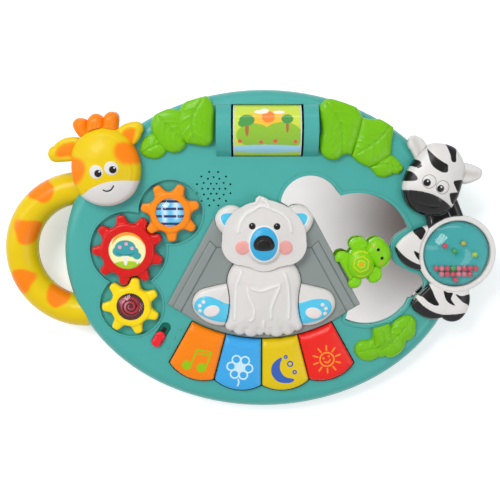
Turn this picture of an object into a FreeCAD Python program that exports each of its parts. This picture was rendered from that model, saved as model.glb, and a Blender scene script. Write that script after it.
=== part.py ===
import FreeCAD, Part
import math
import os

os.makedirs("parts", exist_ok=True)

# Musical activity center: an oval play board on a wedge-shaped housing.
# Every piece is drawn in the face frame: x to the right and y up the board, with z = 0 on
# the flat top of the board. tilted() then stands the board on its feet: z = 0 is the floor.

# Board and housing, in millimetres
BOARD_LENGTH = 353.0
BOARD_WIDTH = 285.0
TILT = 9.0
FRONT_RISE = 6.93
WALL = 2.5
SHOULDER_RADIUS = 12.0
PARTING_DEPTH = 18.0
BASE_INSET = 8.0
BASE_ROUNDING = 6.0
FOOT_GAP = 2.0
BACKING_INSET = 2.0
GIRAFFE_BACKING_DEPTH = 34.0
ZEBRA_BACKING_DEPTH = 26.0

# Clearances: beside a fixed piece in its seat, and beside a moving one
SEAT_GAP = 0.15
POCKET_GAP = 0.3
RUNNING_GAP = 0.5
BEARING_GAP = 0.05
PIN_GRIP_GAP = 0.02

# Posts and screws that close the housing
POST_SPOTS = ((-158.0, 0.0), (-88.0, 108.0), (88.0, 108.0), (122.0, -82.0), (-110.0, -88.0))
POST_RADIUS = 4.5
BACK_POST_RADIUS = 6.2
HOUSING_SCREW_RADIUS = 1.4
HOUSING_HEAD_RADIUS = 3.4
HOUSING_HEAD_HEIGHT = 2.2
HOUSING_GRIP = 4.0
HOUSING_BITE = 12.0
SHANK_GAP = 0.4
HEAD_GAP = 0.6

# Pegs under the figures, and the screws that hold them from inside
PEG_RADIUS = 3.0
PEG_SHORTFALL = 0.2
SCREW_RADIUS = 1.2
SCREW_HEAD_RADIUS = 3.4
SCREW_HEAD_HEIGHT = 2.0
SCREW_LENGTH = 5.5
SCREW_HOLE_GAP = 0.1
SCREW_TIP_GAP = 0.3

# Feet and battery box, on the floor side
FOOT_RADIUS = 8.0
FOOT_HEIGHT = 3.0
FOOT_SPOTS = ((-75.0, -103.0), (75.0, -103.0), (-118.0, 75.0), (118.0, 75.0))
CELL_RADIUS = 7.15
CELL_LENGTH = 50.0
CELL_COUNT = 3
CELL_PITCH = 14.9
CELL_GAP = 0.3
CELL_NUB_RADIUS = 2.7
CELL_NUB_LENGTH = 1.5
CONTACT_ROOM = 4.0
BOX_CENTRE_Y = 45.0
BOX_WALL = 2.0
DOOR_LEDGE = 2.0
DOOR_THICKNESS = 1.8
DOOR_TAB_RADIUS = 5.0
DOOR_SCREW_HEAD = 0.9
DOOR_SCREW_REACH = 8.0
DOOR_BOSS_HEIGHT = 10.0
CONTACT_THICKNESS = 0.6
STUD_RADIUS = 2.2
SPRING_RADII = (5.0, 3.2)

# Carrying handle: half a ring that is the giraffe's neck
HANDLE_INSET = 15.5
HANDLE_Y = 1.5
HANDLE_RING_RADIUS = 55.9
HANDLE_TUBE_RADIUS = 14.4
HANDLE_WALL = 2.3
HANDLE_START = 75.0
HANDLE_SWEEP = 210.0
HANDLE_X = HANDLE_INSET - BOARD_LENGTH / 2

# Figure centres
GIRAFFE = (41.5 - BOARD_LENGTH / 2, BOARD_WIDTH / 2 - 66.5)
BEAR = (0.8, 0.0)
ZEBRA = (BOARD_LENGTH / 2 - 7.5, 1.4)
FIGURE_ROUNDING = 4.0
EAR_ROUNDING = 2.0
MUZZLE_RIM_STEP = 1.0
MUZZLE_TOP_STEP = 1.5

# Giraffe and zebra heights over the face
GIRAFFE_RIM = 10.0
GIRAFFE_TOP = 19.0
GIRAFFE_EAR_RIM = 6.5
GIRAFFE_EAR_TOP = 9.0
MANE_TUFTS = (
    (-21.0, 35.0, 7.6, 9.5),
    (-8.3, 38.2, 8.2, 11.0),
    (5.0, 40.8, 7.8, 10.0),
)
MANE_DOME = 4.0
MANE_ROOT_TOP = 7.0
ZEBRA_RIM = 10.0
ZEBRA_TOP = 18.0
ZEBRA_EAR_RIM = 7.0
ZEBRA_EAR_TOP = 9.0
ZEBRA_NECK_TOP = 7.5
ZEBRA_ARM_RIM = 6.5
ZEBRA_LEG_RIM = 6.0
ZEBRA_LIMB_TOP = 8.5

# Gears
GEAR_CENTRE_DISTANCE = 50.2
RED_GEAR = (-118.3, 4.5)
RED_TEETH = 9
SMALL_TEETH = 7
ORANGE_DIRECTION = 41.3
YELLOW_DIRECTION = -88.3
RED_ROOT = 23.6
RED_TIP = 31.4
SMALL_ROOT = 18.0
SMALL_TIP = 25.8
TOOTH_BASE_HALF = 4.6
TOOTH_TIP_HALF = 3.4
TOOTH_RISE = 2.2
TOOTH_CORNER = 1.2
GEAR_BOTTOM = -2.7
GEAR_TOP = 6.5
GEAR_WEB_TOP = 1.2
GEAR_LENS_SEAT = 5.0
GEAR_LENS_RADIUS = 12.3
RED_DISC_RADIUS = 16.2
LENS_SEAT_THICKNESS = 2.0
LENS_EDGE = 0.4
LENS_RISE = 3.6
RED_DISC_THICKNESS = 1.6
GEAR_CROWN = 1.0
GEAR_COLLAR_WIDTH = 2.2
GEAR_COLLAR_RISE = 1.0
GEAR_LEDGE = 1.5
WELL_FLOOR = -3.0
WELL_GAP = 2.2
WELL_RIM_WIDTH = 1.4
WELL_RIM_HEIGHT = 0.8
AXLE_RADIUS = 3.5
AXLE_TOP = 1.5
AXLE_CAP_RADIUS = 6.0
AXLE_CAP_HEIGHT = 2.0

# Picture roller
ROLLER_AXIS_Y = 107.7
ROLLER_AXIS_Z = -11.7
ROLLER_RADIUS = 24.0
ROLLER_LEFT = -25.7
ROLLER_LENGTH = 58.0
ROLLER_END_GAP = 1.8
ROLLER_SIDE_GAP = 1.0
ROLLER_SLEEVE = 1.2
ROLLER_FLANGE = 1.0
ROLLER_WALL = 2.0
ROLLER_STUB_RADIUS = 2.5
ROLLER_STUB_LENGTH = 9.0
HUMP_WIDTH = 12.7
BRACKET_THICKNESS = 5.0
BRACKET_DEPTH = 18.0
BRACKET_MARGIN = 2.5
BRACKET_FLANK = 4.0
BRACKET_TIP_HALF = 7.0
BRACKET_GAP = 1.0

# Keys: a fan of four about a centre above the bear
KEY_FAN = (-1.0, 52.0)
KEY_COUNT = 4
KEY_PITCH = 14.5
KEY_INNER_RADIUS = 128.0
KEY_EDGE_MARGIN = 17.7
KEY_END_BULGE = 5.8
KEY_GAP = 0.9
KEY_RIM = 4.5
KEY_TOP = 6.0
KEY_SKIRT = -5.0
KEY_WALL = 1.8
KEY_ROUNDING = 2.0
KEY_SWING_ROOM = 0.9
KEY_TONGUE_WIDTH = 14.0
KEY_RIB_REACH = 24.0
KEY_RIB_BOTTOM = -9.0
KEY_RIB_THICKNESS = 3.0
KEY_TONGUE_THICKNESS = 4.0
KEY_TONGUE_GRIP = 0.6
HINGE_SETBACK = 8.0
HINGE_Z = -6.2
HINGE_PIN_RADIUS = 1.0
HINGE_PIN_LENGTH = 22.0
HINGE_KNUCKLE_RADIUS = 2.6
HINGE_LUG_WIDTH = 3.0
HINGE_LUG_GAP = 0.3

# Circuit board and what it carries
CIRCUIT_TOP = -13.0
CIRCUIT_THICKNESS = 1.6
CIRCUIT_X = (-52.0, 50.0)
CIRCUIT_TOP_Y = -46.0
CIRCUIT_FOOT_MARGIN = 3.2
CIRCUIT_BOSS_RADIUS = 3.0
CIRCUIT_BOSS_OFFSET = 5.2
CHIP_X = (-8.0, 6.0)
CHIP_Y = (-100.0, -86.0)
CHIP_HEIGHT = 2.0
COIL_SPOT = (26.0, -90.0)
COIL_RADIUS = 5.0
COIL_HEIGHT = 7.0
PAD_RADIUS = 5.0
PAD_TOP = -11.3
PAD_TAPER = 1.5
BEAR_PAD_SPOTS = ((-18.0, -57.0), (18.0, -57.0))
LAMP_SPOTS = ((-10.0, -50.0), (11.0, -50.0))
LAMP_RADIUS = 2.5
LAMP_HEIGHT = 5.0

# Bear
BEAR_HEAD_RIM = 9.5
BEAR_HEAD_TOP = 15.0
BEAR_BODY_BOTTOM = 3.4
BEAR_BODY_RIM = 8.0
BEAR_BODY_TOP = 13.5
BEAR_BODY_ROUNDING = 3.0
BEAR_LEG_RIM = 6.5
BEAR_LEG_TOP = 10.0
BEAR_EAR_DROP = 3.0
BEAR_MUZZLE_Y = 10.5
BEAR_MUZZLE_DEPTH = 2.5
BEAR_MUZZLE_SEMI_AXES = (15.5, 17.0, 6.5)
BEAR_NOSE_Y = 12.4
BEAR_NOSE_LIFT = 3.0
BEAR_NOSE_SEMI_AXES = (9.7, 7.7, 5.0)
SKIRT_LENGTH = 48.0
SKIRT_HEIGHT = 44.0
SKIRT_CENTRE_Y = -38.0
SKIRT_BOTTOM = -6.0
SKIRT_WALL = 2.0
SKIRT_CORNER = 4.0
PLUNGER_THICKNESS = 2.0
PLUNGER_OVERLAP = 2.0
PLUNGER_BAR = 6.0

# Rock panel behind the bear
PANEL_THICKNESS = 3.2
PANEL_RAIL_TOP = 4.4
PANEL_RAIL_INSET = 5.3
PANEL_RAIL_WIDTH = 8.5
PANEL_RAIL_LENGTH = 64.0
PANEL_TOP_HALF = 43.8
PANEL_TOP_Y = 32.5
PANEL_FOOT_HALF = 85.6
PANEL_FOOT_Y = -44.3
PANEL_CORNER_HALF = 75.0
PANEL_CORNER_Y = -50.5

# Mirror
MIRROR_TOP = -3.2
MIRROR_THICKNESS = 2.0
MIRROR_LIP_WIDTH = 3.0
MIRROR_LIP_HEIGHT = 1.2

# Turtle and its carriage, which slides along the panel's right edge
TURTLE = (85.0, -6.5)
TURTLE_TRAVEL = 26.0
TURTLE_BOTTOM = 1.6
TURTLE_SHELL_SEMI_AXES = (12.6, 14.8, 12.0)
TURTLE_LIMB_TOP = 6.5
TURTLE_SKULL_RIM = 8.5
TURTLE_SKULL_TOP = 11.5
TURTLE_STALK_RADIUS = 5.0
CARRIAGE_TOP = -0.4
CARRIAGE_BOTTOM = -2.9
CARRIAGE_LENGTH = 22.0
CARRIAGE_REACH = 10.0
CARRIAGE_RIB_WIDTH = 2.0
CARRIAGE_RIB_HEIGHT = 1.2
CARRIAGE_RIB_INSET = 3.0
CARRIAGE_TAIL = 6.0
CHANNEL_GAP = 0.3

# Bead dome in the zebra's belly ring
RING_OUTER = 34.0
RING_INNER = 29.2
RING_TOP = 7.0
RING_ROUNDING = 1.8
DOME_RADIUS = 28.7
DOME_WALL = 1.5
DOME_SKIRT_TOP = 7.0
DOME_TOP = 18.0
SPINNER_LIFT = 0.3
SPINNER_BASE = 2.0
SPINDLE_RADIUS = 4.0
RETAINER_RADIUS = 8.0
RETAINER_THICKNESS = 1.8
BEAD_RADIUS = 2.4
BEAD_PITCH = 4.95
BEAD_ROW_PITCH = 5.1
BEAD_EDGE_GAP = 1.6
BEAD_LIFT = 0.05
BEAD_PILE_LEVEL = -9.0
LOOSE_BEADS = ((-10.4, 7.0), (5.6, 9.3), (-1.8, 2.2), (16.0, -0.8))
PEDESTAL_TOP = 2.0

# Slide switch
SWITCH = (-91.0, -72.7)
SWITCH_DIRECTION = 58.4
SWITCH_SLOT_LENGTH = 25.0
SWITCH_SLOT_WIDTH = 9.5
SWITCH_SLOT_DEPTH = 1.6
SWITCH_PLATE_THICKNESS = 0.7
SWITCH_KNOB_LENGTH = 15.2
SWITCH_KNOB_TOP = 4.0
SWITCH_TRAVEL = 9.0
SWITCH_STEM_LENGTH = 5.0
SWITCH_STEM_WIDTH = 3.0
SWITCH_BODY_LENGTH = 26.0
SWITCH_BODY_WIDTH = 9.0
SWITCH_BODY_HEIGHT = 7.0
SWITCH_KNOB_ROUNDING = 1.2
SWITCH_KNOB_LIFT = 0.1
SWITCH_STEM_BOTTOM = -6.5
LEVEL_MARK_SPOTS = ((-74.3, -67.0), (-79.8, -74.9), (-85.3, -83.8))
LEVEL_MARK_RADIUS = 1.8
LEVEL_MARK_HEIGHT = 0.5

# Speaker
SPEAKER = (-42.9, 57.8)
SPEAKER_RADIUS = 19.5
SPEAKER_FRONT = -6.0
SPEAKER_FLANGE = 1.5
SPEAKER_DEPTH = 14.0
SPEAKER_MAGNET_RADIUS = 9.0
SPEAKER_BASKET_DEPTH = 6.0
SPEAKER_BASKET_MARGIN = 4.0
SPEAKER_CONE_DEPTH = 4.0
SPEAKER_CONE_MARGIN = 3.0
SPEAKER_COIL_RADIUS = 6.0
SPEAKER_COLLAR_INSET = 0.5
SPEAKER_HOLE_RADIUS = 0.85
SPEAKER_RING_PITCH = 5.0
SPEAKER_RING_HOLES = (1, 6, 12, 12)
SPEAKER_LAST_RING_TURN = 15.0
SPEAKER_BOSS_RADIUS = 24.0
SPEAKER_BOSS_ANGLES = (100.0, -40.0)
CLAMP_THICKNESS = 1.5
CLAMP_BRIDGE_HALF = 3.0

# Leaves: heights of the small, middle and large leaf, and of each one's gentle dome
LEAF_TOPS = (5.0, 6.5, 8.0)
LEAF_DOME = 2.0

# Cuts reach this far past the faces they open
PAST = 1.0

# Derived places
SLOPE = math.radians(TILT)
FACE_HEIGHT = FRONT_RISE + BOARD_WIDTH / 2 * math.sin(SLOPE) + PARTING_DEPTH * math.cos(SLOPE)
KEY_OUTER_RADIUS = KEY_FAN[1] + BOARD_WIDTH / 2 - KEY_EDGE_MARGIN
KEY_CORNER_RADIUS = KEY_OUTER_RADIUS - KEY_END_BULGE
KEY_RIB_RADIUS = KEY_INNER_RADIUS + KEY_RIB_REACH
HINGE_RADIUS = KEY_INNER_RADIUS - HINGE_SETBACK
CIRCUIT_Y = (KEY_FAN[1] - KEY_OUTER_RADIUS - CIRCUIT_FOOT_MARGIN, CIRCUIT_TOP_Y)
BOARD_LEFT = HANDLE_X - HANDLE_RING_RADIUS - HANDLE_TUBE_RADIUS
BOARD_RIGHT = ZEBRA[0] + RING_OUTER
SHIFT_X = -(BOARD_LEFT + BOARD_RIGHT) / 2
SHIFT_Y = -(SHOULDER_RADIUS + PARTING_DEPTH) * math.sin(SLOPE) / 2
BASE_CENTRE_Y = SHIFT_Y + (FACE_HEIGHT - FOOT_GAP) * math.tan(SLOPE)
MIRROR_FLOOR = MIRROR_TOP - MIRROR_THICKNESS
RAIL_DIRECTION = math.degrees(math.atan2(PANEL_TOP_Y - PANEL_FOOT_Y, PANEL_TOP_HALF - PANEL_FOOT_HALF))


# Drawing helpers

def point(x, y, z=0.0):
    return FreeCAD.Vector(x, y, z)


UP = point(0, 0, 1)


def path(start, *steps, origin=(0.0, 0.0)):
    """Closed outline; a step is an end point, or (via, end) for a round stretch."""
    first = point(origin[0] + start[0], origin[1] + start[1])
    here = first
    edges = []
    for step in steps:
        if isinstance(step[0], tuple):
            via = point(origin[0] + step[0][0], origin[1] + step[0][1])
            end = point(origin[0] + step[1][0], origin[1] + step[1][1])
            edges.append(Part.Arc(here, via, end).toShape())
        else:
            end = point(origin[0] + step[0], origin[1] + step[1])
            edges.append(Part.LineSegment(here, end).toShape())
        here = end
    if here.distanceToPoint(first) > 0.001:
        edges.append(Part.LineSegment(here, first).toShape())
    return Part.Wire(edges)


def smooth_path(*spots, origin):
    """Closed outline without corners: one curve through the spots."""
    curve = Part.BSplineCurve()
    curve.interpolate([point(origin[0] + x, origin[1] + y) for x, y in spots], PeriodicFlag=True)
    return Part.Wire(curve.toShape())


def prism(outline, low, high):
    face = outline if outline.ShapeType == "Face" else Part.Face(outline)
    solid = face.extrude(point(0, 0, high - low))
    solid.translate(point(0, 0, low))
    return solid


def grown(outline, distance):
    return outline.makeOffset2D(distance)


def disc(centre, radius, low, high):
    return Part.makeCylinder(radius, high - low, point(centre[0], centre[1], low), UP)


def block(x_range, y_range, z_range):
    size = [pair[1] - pair[0] for pair in (x_range, y_range, z_range)]
    return Part.makeBox(size[0], size[1], size[2], point(x_range[0], y_range[0], z_range[0]))


def merged(*shapes):
    return shapes[0].fuse(list(shapes[1:])).removeSplitter()


def placed(shape, centre, turn=0.0):
    """A copy turned about its own z axis and moved from the origin to a place on the face."""
    copy = shape.copy()
    copy.rotate(point(0, 0), UP, turn)
    copy.translate(point(centre[0], centre[1]))
    return copy


def mirrored(shape):
    """The other half of a piece that is symmetric about the bear's centre line."""
    return shape.mirror(point(BEAR[0], 0), point(1, 0, 0))


def polar(centre, radius, angle):
    """The place at a radius and an angle in degrees from a centre."""
    turn = math.radians(angle)
    return (centre[0] + radius * math.cos(turn), centre[1] + radius * math.sin(turn))


def ball(centre, radius):
    """A ball with its poles at the sides and its seam underneath."""
    sphere = Part.makeSphere(radius, point(0, 0), point(1, 0, 0))
    sphere.rotate(point(0, 0), point(1, 0, 0), 180)
    sphere.translate(centre)
    return sphere


def crowned(outline, low, rim, top, rounding):
    """A moulded figure: straight sides, a gently domed top and a rounded upper edge."""
    body = prism(outline, low, top + 1.0)
    box = body.BoundBox
    reach = math.hypot(box.XLength, box.YLength) / 2
    rise = top - rim
    radius = (reach * reach + rise * rise) / (2 * rise)
    body = body.common(Part.makeSphere(radius, point(box.Center.x, box.Center.y, top - radius)))
    if rounding > 0:
        edges = [edge for edge in body.Edges if edge.BoundBox.ZMin > low + 0.01]
        body = body.makeFillet(rounding, edges)
    return body


def stadium(length, width):
    half = (length - width) / 2
    radius = width / 2
    return path(
        (-half, -radius),
        (half, -radius),
        ((half + radius, 0), (half, radius)),
        (-half, radius),
        ((-half - radius, 0), (-half, -radius)),
    )


def rounded_block(length, height, corner, low, high):
    half_x = length / 2
    half_y = height / 2
    body = block((-half_x, half_x), (-half_y, half_y), (low, high))
    corners = [edge for edge in body.Edges if abs(edge.tangentAt(edge.FirstParameter).z) > 0.9]
    return body.makeFillet(corner, corners)


def ellipsoid(centre, semi_x, semi_y, semi_z):
    stretch = FreeCAD.Matrix()
    stretch.scale(semi_x, semi_y, semi_z)
    body = ball(point(0, 0), 1.0).transformGeometry(stretch)
    body.translate(point(*centre))
    return body


def tilted(shape):
    """From the face frame to the object standing on the floor."""
    copy = shape.copy()
    copy.rotate(point(0, 0), point(1, 0, 0), TILT)
    copy.translate(point(SHIFT_X, SHIFT_Y, FACE_HEIGHT))
    return copy


def from_floor(shape):
    """From the floor to the face frame."""
    copy = shape.copy()
    copy.translate(point(-SHIFT_X, -SHIFT_Y, -FACE_HEIGHT))
    copy.rotate(point(0, 0), point(1, 0, 0), -TILT)
    return copy


def keep(name, shape):
    tilted(shape).exportStep("parts/" + name + ".step")


# Screws and pegs

def small_screw(seat, under=-WALL):
    """A screw that points up from its head, whose upper side is at the height under."""
    head = disc(seat, SCREW_HEAD_RADIUS, under - SCREW_HEAD_HEIGHT, under)
    shank = disc(seat, SCREW_RADIUS, under, under + SCREW_LENGTH)
    return merged(head, shank)


def pegged(solid, spots, base=0.0):
    """The figure with a drilled peg at each spot, which passes through the face plate."""
    bottom = PEG_SHORTFALL - WALL
    for spot in spots:
        solid = solid.fuse(disc(spot, PEG_RADIUS, bottom, base + 0.5))
    for spot in spots:
        bore = disc(spot, SCREW_RADIUS + SCREW_HOLE_GAP, bottom - 1, SCREW_LENGTH - WALL + SCREW_TIP_GAP)
        solid = solid.cut(bore)
    return solid.removeSplitter()


def around(centre, *offsets):
    return tuple((centre[0] + dx, centre[1] + dy) for dx, dy in offsets)


GIRAFFE_PEGS = around(GIRAFFE, (10, 16), (6, -3))
BEAR_HEAD_PEGS = around(BEAR, (-14, 28), (14, 28))
BEAR_LEG_PEGS = around(BEAR, (-48, -45), (48, -45))
PANEL_PEGS = around(BEAR, (-39.2, 2), (39.2, 2), (-69.5, -42), (69.5, -42))
ZEBRA_HEAD_PEGS = around(ZEBRA, (-22, 74), (-22, 61))
ZEBRA_LIMB_PEGS = around(ZEBRA, (-38, 6), (-12, -44))
LEAF_LEFT_PEGS = ((-57.0, 112.0), (-78.0, 98.0))
LEAF_RIGHT_PEGS = ((62.0, 112.0), (99.0, 98.0))
LEAF_LOWER_PEGS = ((98.0, -84.0), (116.0, -71.0))
ALL_PEGS = (
    GIRAFFE_PEGS + BEAR_HEAD_PEGS + BEAR_LEG_PEGS + PANEL_PEGS + ZEBRA_HEAD_PEGS
    + ZEBRA_LIMB_PEGS + LEAF_LEFT_PEGS + LEAF_RIGHT_PEGS + LEAF_LOWER_PEGS
)


# Outlines of the figures

def giraffe_skull():
    return path(
        (-28.8, 6),
        ((-28.2, -9.7), (-21.8, -23.7)),
        ((-0.2, -32.7), (23.8, -21.4)),
        ((30, -2), (24.5, 19)),
        ((3, 34), (-22, 24.5)),
        ((-27.5, 16.5), (-28.8, 6)),
        origin=GIRAFFE,
    )


def giraffe_ears():
    left = path(
        (-23, 25.8), ((-35, 25), (-44, 18.8)), ((-49, 10), (-41.5, 4.8)), (-25, 6),
        ((-18, 16), (-23, 25.8)), origin=GIRAFFE,
    )
    right = path(
        (9, 31), ((18, 37.6), (26.5, 39.3)), ((32, 36), (31, 29)), ((28.5, 23.8), (23, 19)),
        ((13, 20), (9, 31)), origin=GIRAFFE,
    )
    return left, right


def bear_skull():
    return path(
        (-36.2, 14),
        ((-33, -0.5), (-22, -7.2)),
        (-12, -9.3),
        ((0, -13), (12, -9.3)),
        (22, -7.2),
        ((33, -0.5), (36.2, 14)),
        ((32, 31), (20, 42.5)),
        ((13, 46), (4.5, 48.4)),
        ((0.5, 50.8), (-3.5, 52.3)),
        ((-6.3, 51), (-7.6, 47.2)),
        ((-14, 45.2), (-20.5, 42)),
        ((-32, 31), (-36.2, 14)),
        origin=BEAR,
    )


def bear_ear():
    return path(
        (-21, 41.8), ((-36, 42), (-42.8, 32)), ((-41.5, 26.5), (-35.6, 19)), (-24, 24), origin=BEAR
    )


def bear_body_outline():
    return path(
        (-24.5, -6),
        ((-31, -15.5), (-32.2, -26)),
        ((-30.3, -43), (-33.6, -60)),
        ((-33.6, -66.5), (-29, -68.6)),
        ((-18, -72.2), (-3, -71.8)),
        ((0, -70.3), (3, -71.8)),
        ((18, -72.2), (29, -68.6)),
        ((33.6, -66.5), (33.6, -60)),
        ((30.3, -43), (32.2, -26)),
        ((31, -15.5), (24.5, -6)),
        origin=BEAR,
    )


def bear_leg_outline():
    return path(
        (-28, -24),
        (-30, -24.5),
        ((-43, -27.2), (-54, -30)),
        ((-63, -40.5), (-59.5, -52.5)),
        ((-48, -61), (-33, -62.6)),
        (-28, -62.6),
        origin=BEAR,
    )


def zebra_skull():
    return smooth_path(
        (-39.5, 81.6), (-46, 70.6), (-49.4, 57.6), (-44.5, 42.4), (-30, 33.8), (-13, 34.6), (-3, 46.6),
        (1.6, 61.6), (3, 77), (-5.5, 91.5), (-22, 95.9), (-31.5, 91), origin=ZEBRA,
    )


def zebra_ears():
    left = path(
        (-29.5, 93.1), ((-34.5, 100.1), (-41, 102.4)), ((-45.5, 97.6), (-43, 89.6)), (-38, 80.1),
        origin=ZEBRA,
    )
    right = path(
        (-1, 79), ((11.5, 77.2), (18.3, 73.6)), ((18.6, 68.1), (13.2, 63.5)), ((7, 61.2), (-1, 61)),
        origin=ZEBRA,
    )
    return left, right


def zebra_arm():
    return path(
        (-23, 25.6),
        ((-39.4, 19.9), (-51.5, 9.6)),
        ((-53.4, 5.4), (-51.8, -0.4)),
        ((-45, -9.7), (-31, -13.9)),
        (-18, -10),
        origin=ZEBRA,
    )


def zebra_legs():
    return path(
        (-19, -24),
        (-34.7, -39.9),
        ((-37.4, -45.4), (-31.7, -53.2)),
        ((-21.5, -58.4), (-10.6, -57.4)),
        ((-2.5, -61.2), (7, -57.9)),
        ((11.6, -50.9), (12.5, -33.4)),
        (12.5, -24),
        origin=ZEBRA,
    )


def zebra_neck_outline():
    return path((-28, 40), (-2.6, 50), (4.2, 34.2), (4, 26), (-26, 22), origin=ZEBRA)


def giraffe_backing(inset):
    return grown(giraffe_skull(), -BACKING_INSET - inset)


def zebra_backing(inset):
    outline = path(
        (-49, 68.6),
        (-32, 89.6),
        ((-21, 93.9), (-7.3, 91.1)),
        ((1, 77.6), (-0.4, 62.1)),
        ((-2.5, 50.6), (-4.5, 43.6)),
        (2.5, 31.9),
        ((32, 0), (10.5, -30.2)),
        (10, -48.4),
        ((6.5, -55.4), (-2, -59.2)),
        ((-11, -55.4), (-21.5, -56.4)),
        ((-31.5, -51.4), (-33, -43.4)),
        (-49, -31.4),
        origin=ZEBRA,
    )
    return grown(outline, -inset) if inset else outline


def panel_outline():
    low_reach = math.hypot(BEAR[0] + PANEL_CORNER_HALF - KEY_FAN[0], PANEL_CORNER_Y - KEY_FAN[1])
    low_radius = KEY_INNER_RADIUS - KEY_GAP
    return path(
        (BEAR[0] - PANEL_TOP_HALF, PANEL_TOP_Y),
        (BEAR[0] - PANEL_FOOT_HALF, PANEL_FOOT_Y),
        (BEAR[0] - PANEL_CORNER_HALF, PANEL_CORNER_Y),
        (
            (KEY_FAN[0], KEY_FAN[1] - low_radius),
            (BEAR[0] + PANEL_CORNER_HALF, KEY_FAN[1] - math.sqrt(
                max(low_reach ** 2 - (BEAR[0] + PANEL_CORNER_HALF - KEY_FAN[0]) ** 2, 0.0))),
        ),
        (BEAR[0] + PANEL_FOOT_HALF, PANEL_FOOT_Y),
        (BEAR[0] + PANEL_TOP_HALF, PANEL_TOP_Y),
    )


def mirror_outline():
    """Three round lobes, a straight side under the panel, and a bay round the zebra's arm."""
    return path(
        (15.5, 46),
        ((28.5, 65.6), (63.6, 56.5)),
        (68, 51.7),
        ((101, 50.2), (127, 23.5)),
        (118.9, 18.8),
        ((111.6, 4.5), (121.5, -11)),
        ((129, -15), (137.3, -17.5)),
        ((142.5, -25.5), (129.5, -39.2)),
        (126.8, -45.3),
        ((103, -62), (73.6, -58.9)),
        (76.5, -48.2),
        (81.1, -43.4),
        (40.7, 30.8),
    )


def pedestal_outline():
    return path(
        (-20, 24),
        (-42.6, 20.4),
        ((-49.8, 16.1), (-54.9, 9.6)),
        ((-55.6, 2.6), (-53.2, -4)),
        ((-47, -10.8), (-39.4, -14.3)),
        (-31.3, -14.9),
        (-20, -12),
        origin=ZEBRA,
    )


def key_outline(bulge=0.0):
    """One key's sector of the fan, drawn below the origin, before the gap to its neighbours."""
    half = math.radians(KEY_PITCH / 2)
    inner = KEY_INNER_RADIUS
    corner = KEY_CORNER_RADIUS + bulge
    return path(
        (-inner * math.sin(half), -inner * math.cos(half)),
        (-corner * math.sin(half), -corner * math.cos(half)),
        ((0, -KEY_OUTER_RADIUS - bulge), (corner * math.sin(half), -corner * math.cos(half))),
        (inner * math.sin(half), -inner * math.cos(half)),
        ((0, -inner), (-inner * math.sin(half), -inner * math.cos(half))),
    )


def key_turn(index):
    return (index - (KEY_COUNT - 1) / 2) * KEY_PITCH


# Housing

def oval(inset):
    ellipse = Part.Ellipse(point(0, 0), BOARD_LENGTH / 2 - inset, BOARD_WIDTH / 2 - inset)
    return Part.Face(Part.Wire(ellipse.toShape()))


def shouldered_oval(inset, low, high, rounding):
    body = prism(oval(inset), low, high)
    rim = [edge for edge in body.Edges if edge.BoundBox.ZMin > high - 0.01]
    return body.makeFillet(rounding, rim)


def roller_cylinder(radius, left, right):
    return Part.makeCylinder(
        radius, right - left, point(left, ROLLER_AXIS_Y, ROLLER_AXIS_Z), point(1, 0, 0)
    )


def roller_window():
    """Left and right ends of the opening over the drum."""
    return ROLLER_LEFT - ROLLER_END_GAP, ROLLER_LEFT + ROLLER_LENGTH + ROLLER_END_GAP


def roller_humps():
    """The two hoods beside the drum."""
    left, right = roller_window()
    radius = ROLLER_RADIUS + ROLLER_SIDE_GAP
    above = block((left - 40, right + 40), (0, BOARD_WIDTH / 2), (-1.0, 40))
    humps = []
    for start in (left - HUMP_WIDTH, right):
        hood = roller_cylinder(radius, start, start + HUMP_WIDTH)
        humps.append(hood.common(above))
    return humps


def hump_hollows():
    left, right = roller_window()
    radius = ROLLER_RADIUS + ROLLER_SIDE_GAP - WALL
    above = block((left - 40, right + 40), (0, BOARD_WIDTH / 2), (-WALL - 1, 40))
    hollows = []
    for start in (left - HUMP_WIDTH, right):
        hollow = roller_cylinder(radius, start + WALL, start + HUMP_WIDTH - WALL)
        hollows.append(hollow.common(above))
    return hollows


def front_envelope():
    """The outer form of the upper shell, which the leaves and figures sit on."""
    return merged(
        shouldered_oval(0, -PARTING_DEPTH, 0, SHOULDER_RADIUS),
        prism(giraffe_backing(0), -PARTING_DEPTH, 0),
        prism(zebra_backing(0), -PARTING_DEPTH, 0),
        *roller_humps(),
    )


def gear_places():
    """Centre, root radius, tip radius and tooth count of each gear."""
    orange = polar(RED_GEAR, GEAR_CENTRE_DISTANCE, ORANGE_DIRECTION)
    yellow = polar(RED_GEAR, GEAR_CENTRE_DISTANCE, YELLOW_DIRECTION)
    return {
        "red": (RED_GEAR, RED_ROOT, RED_TIP, RED_TEETH),
        "orange": (orange, SMALL_ROOT, SMALL_TIP, SMALL_TEETH),
        "yellow": (yellow, SMALL_ROOT, SMALL_TIP, SMALL_TEETH),
    }


def boss_spots():
    """Where the circuit board hangs: two between the key hinges, two past the keys' corners."""
    spots = []
    for radius in (HINGE_RADIUS, KEY_OUTER_RADIUS + CIRCUIT_BOSS_OFFSET):
        for turn in (-KEY_PITCH, KEY_PITCH):
            spots.append(polar(KEY_FAN, radius, turn - 90))
    return spots


def speaker_boss_spots():
    return [polar(SPEAKER, SPEAKER_BOSS_RADIUS, angle) for angle in SPEAKER_BOSS_ANGLES]


def hinge_lugs():
    """The two ears under the face plate that hold one key's pin."""
    lugs = []
    for side in (-1, 1):
        start = side * (KEY_TONGUE_WIDTH / 2 + HINGE_LUG_GAP)
        end = start + side * HINGE_LUG_WIDTH
        lug = block(
            (min(start, end), max(start, end)),
            (-HINGE_RADIUS - HINGE_KNUCKLE_RADIUS, -HINGE_RADIUS + HINGE_KNUCKLE_RADIUS),
            (HINGE_Z - HINGE_KNUCKLE_RADIUS, -1.0),
        )
        lugs.append(lug)
    return lugs


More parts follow.
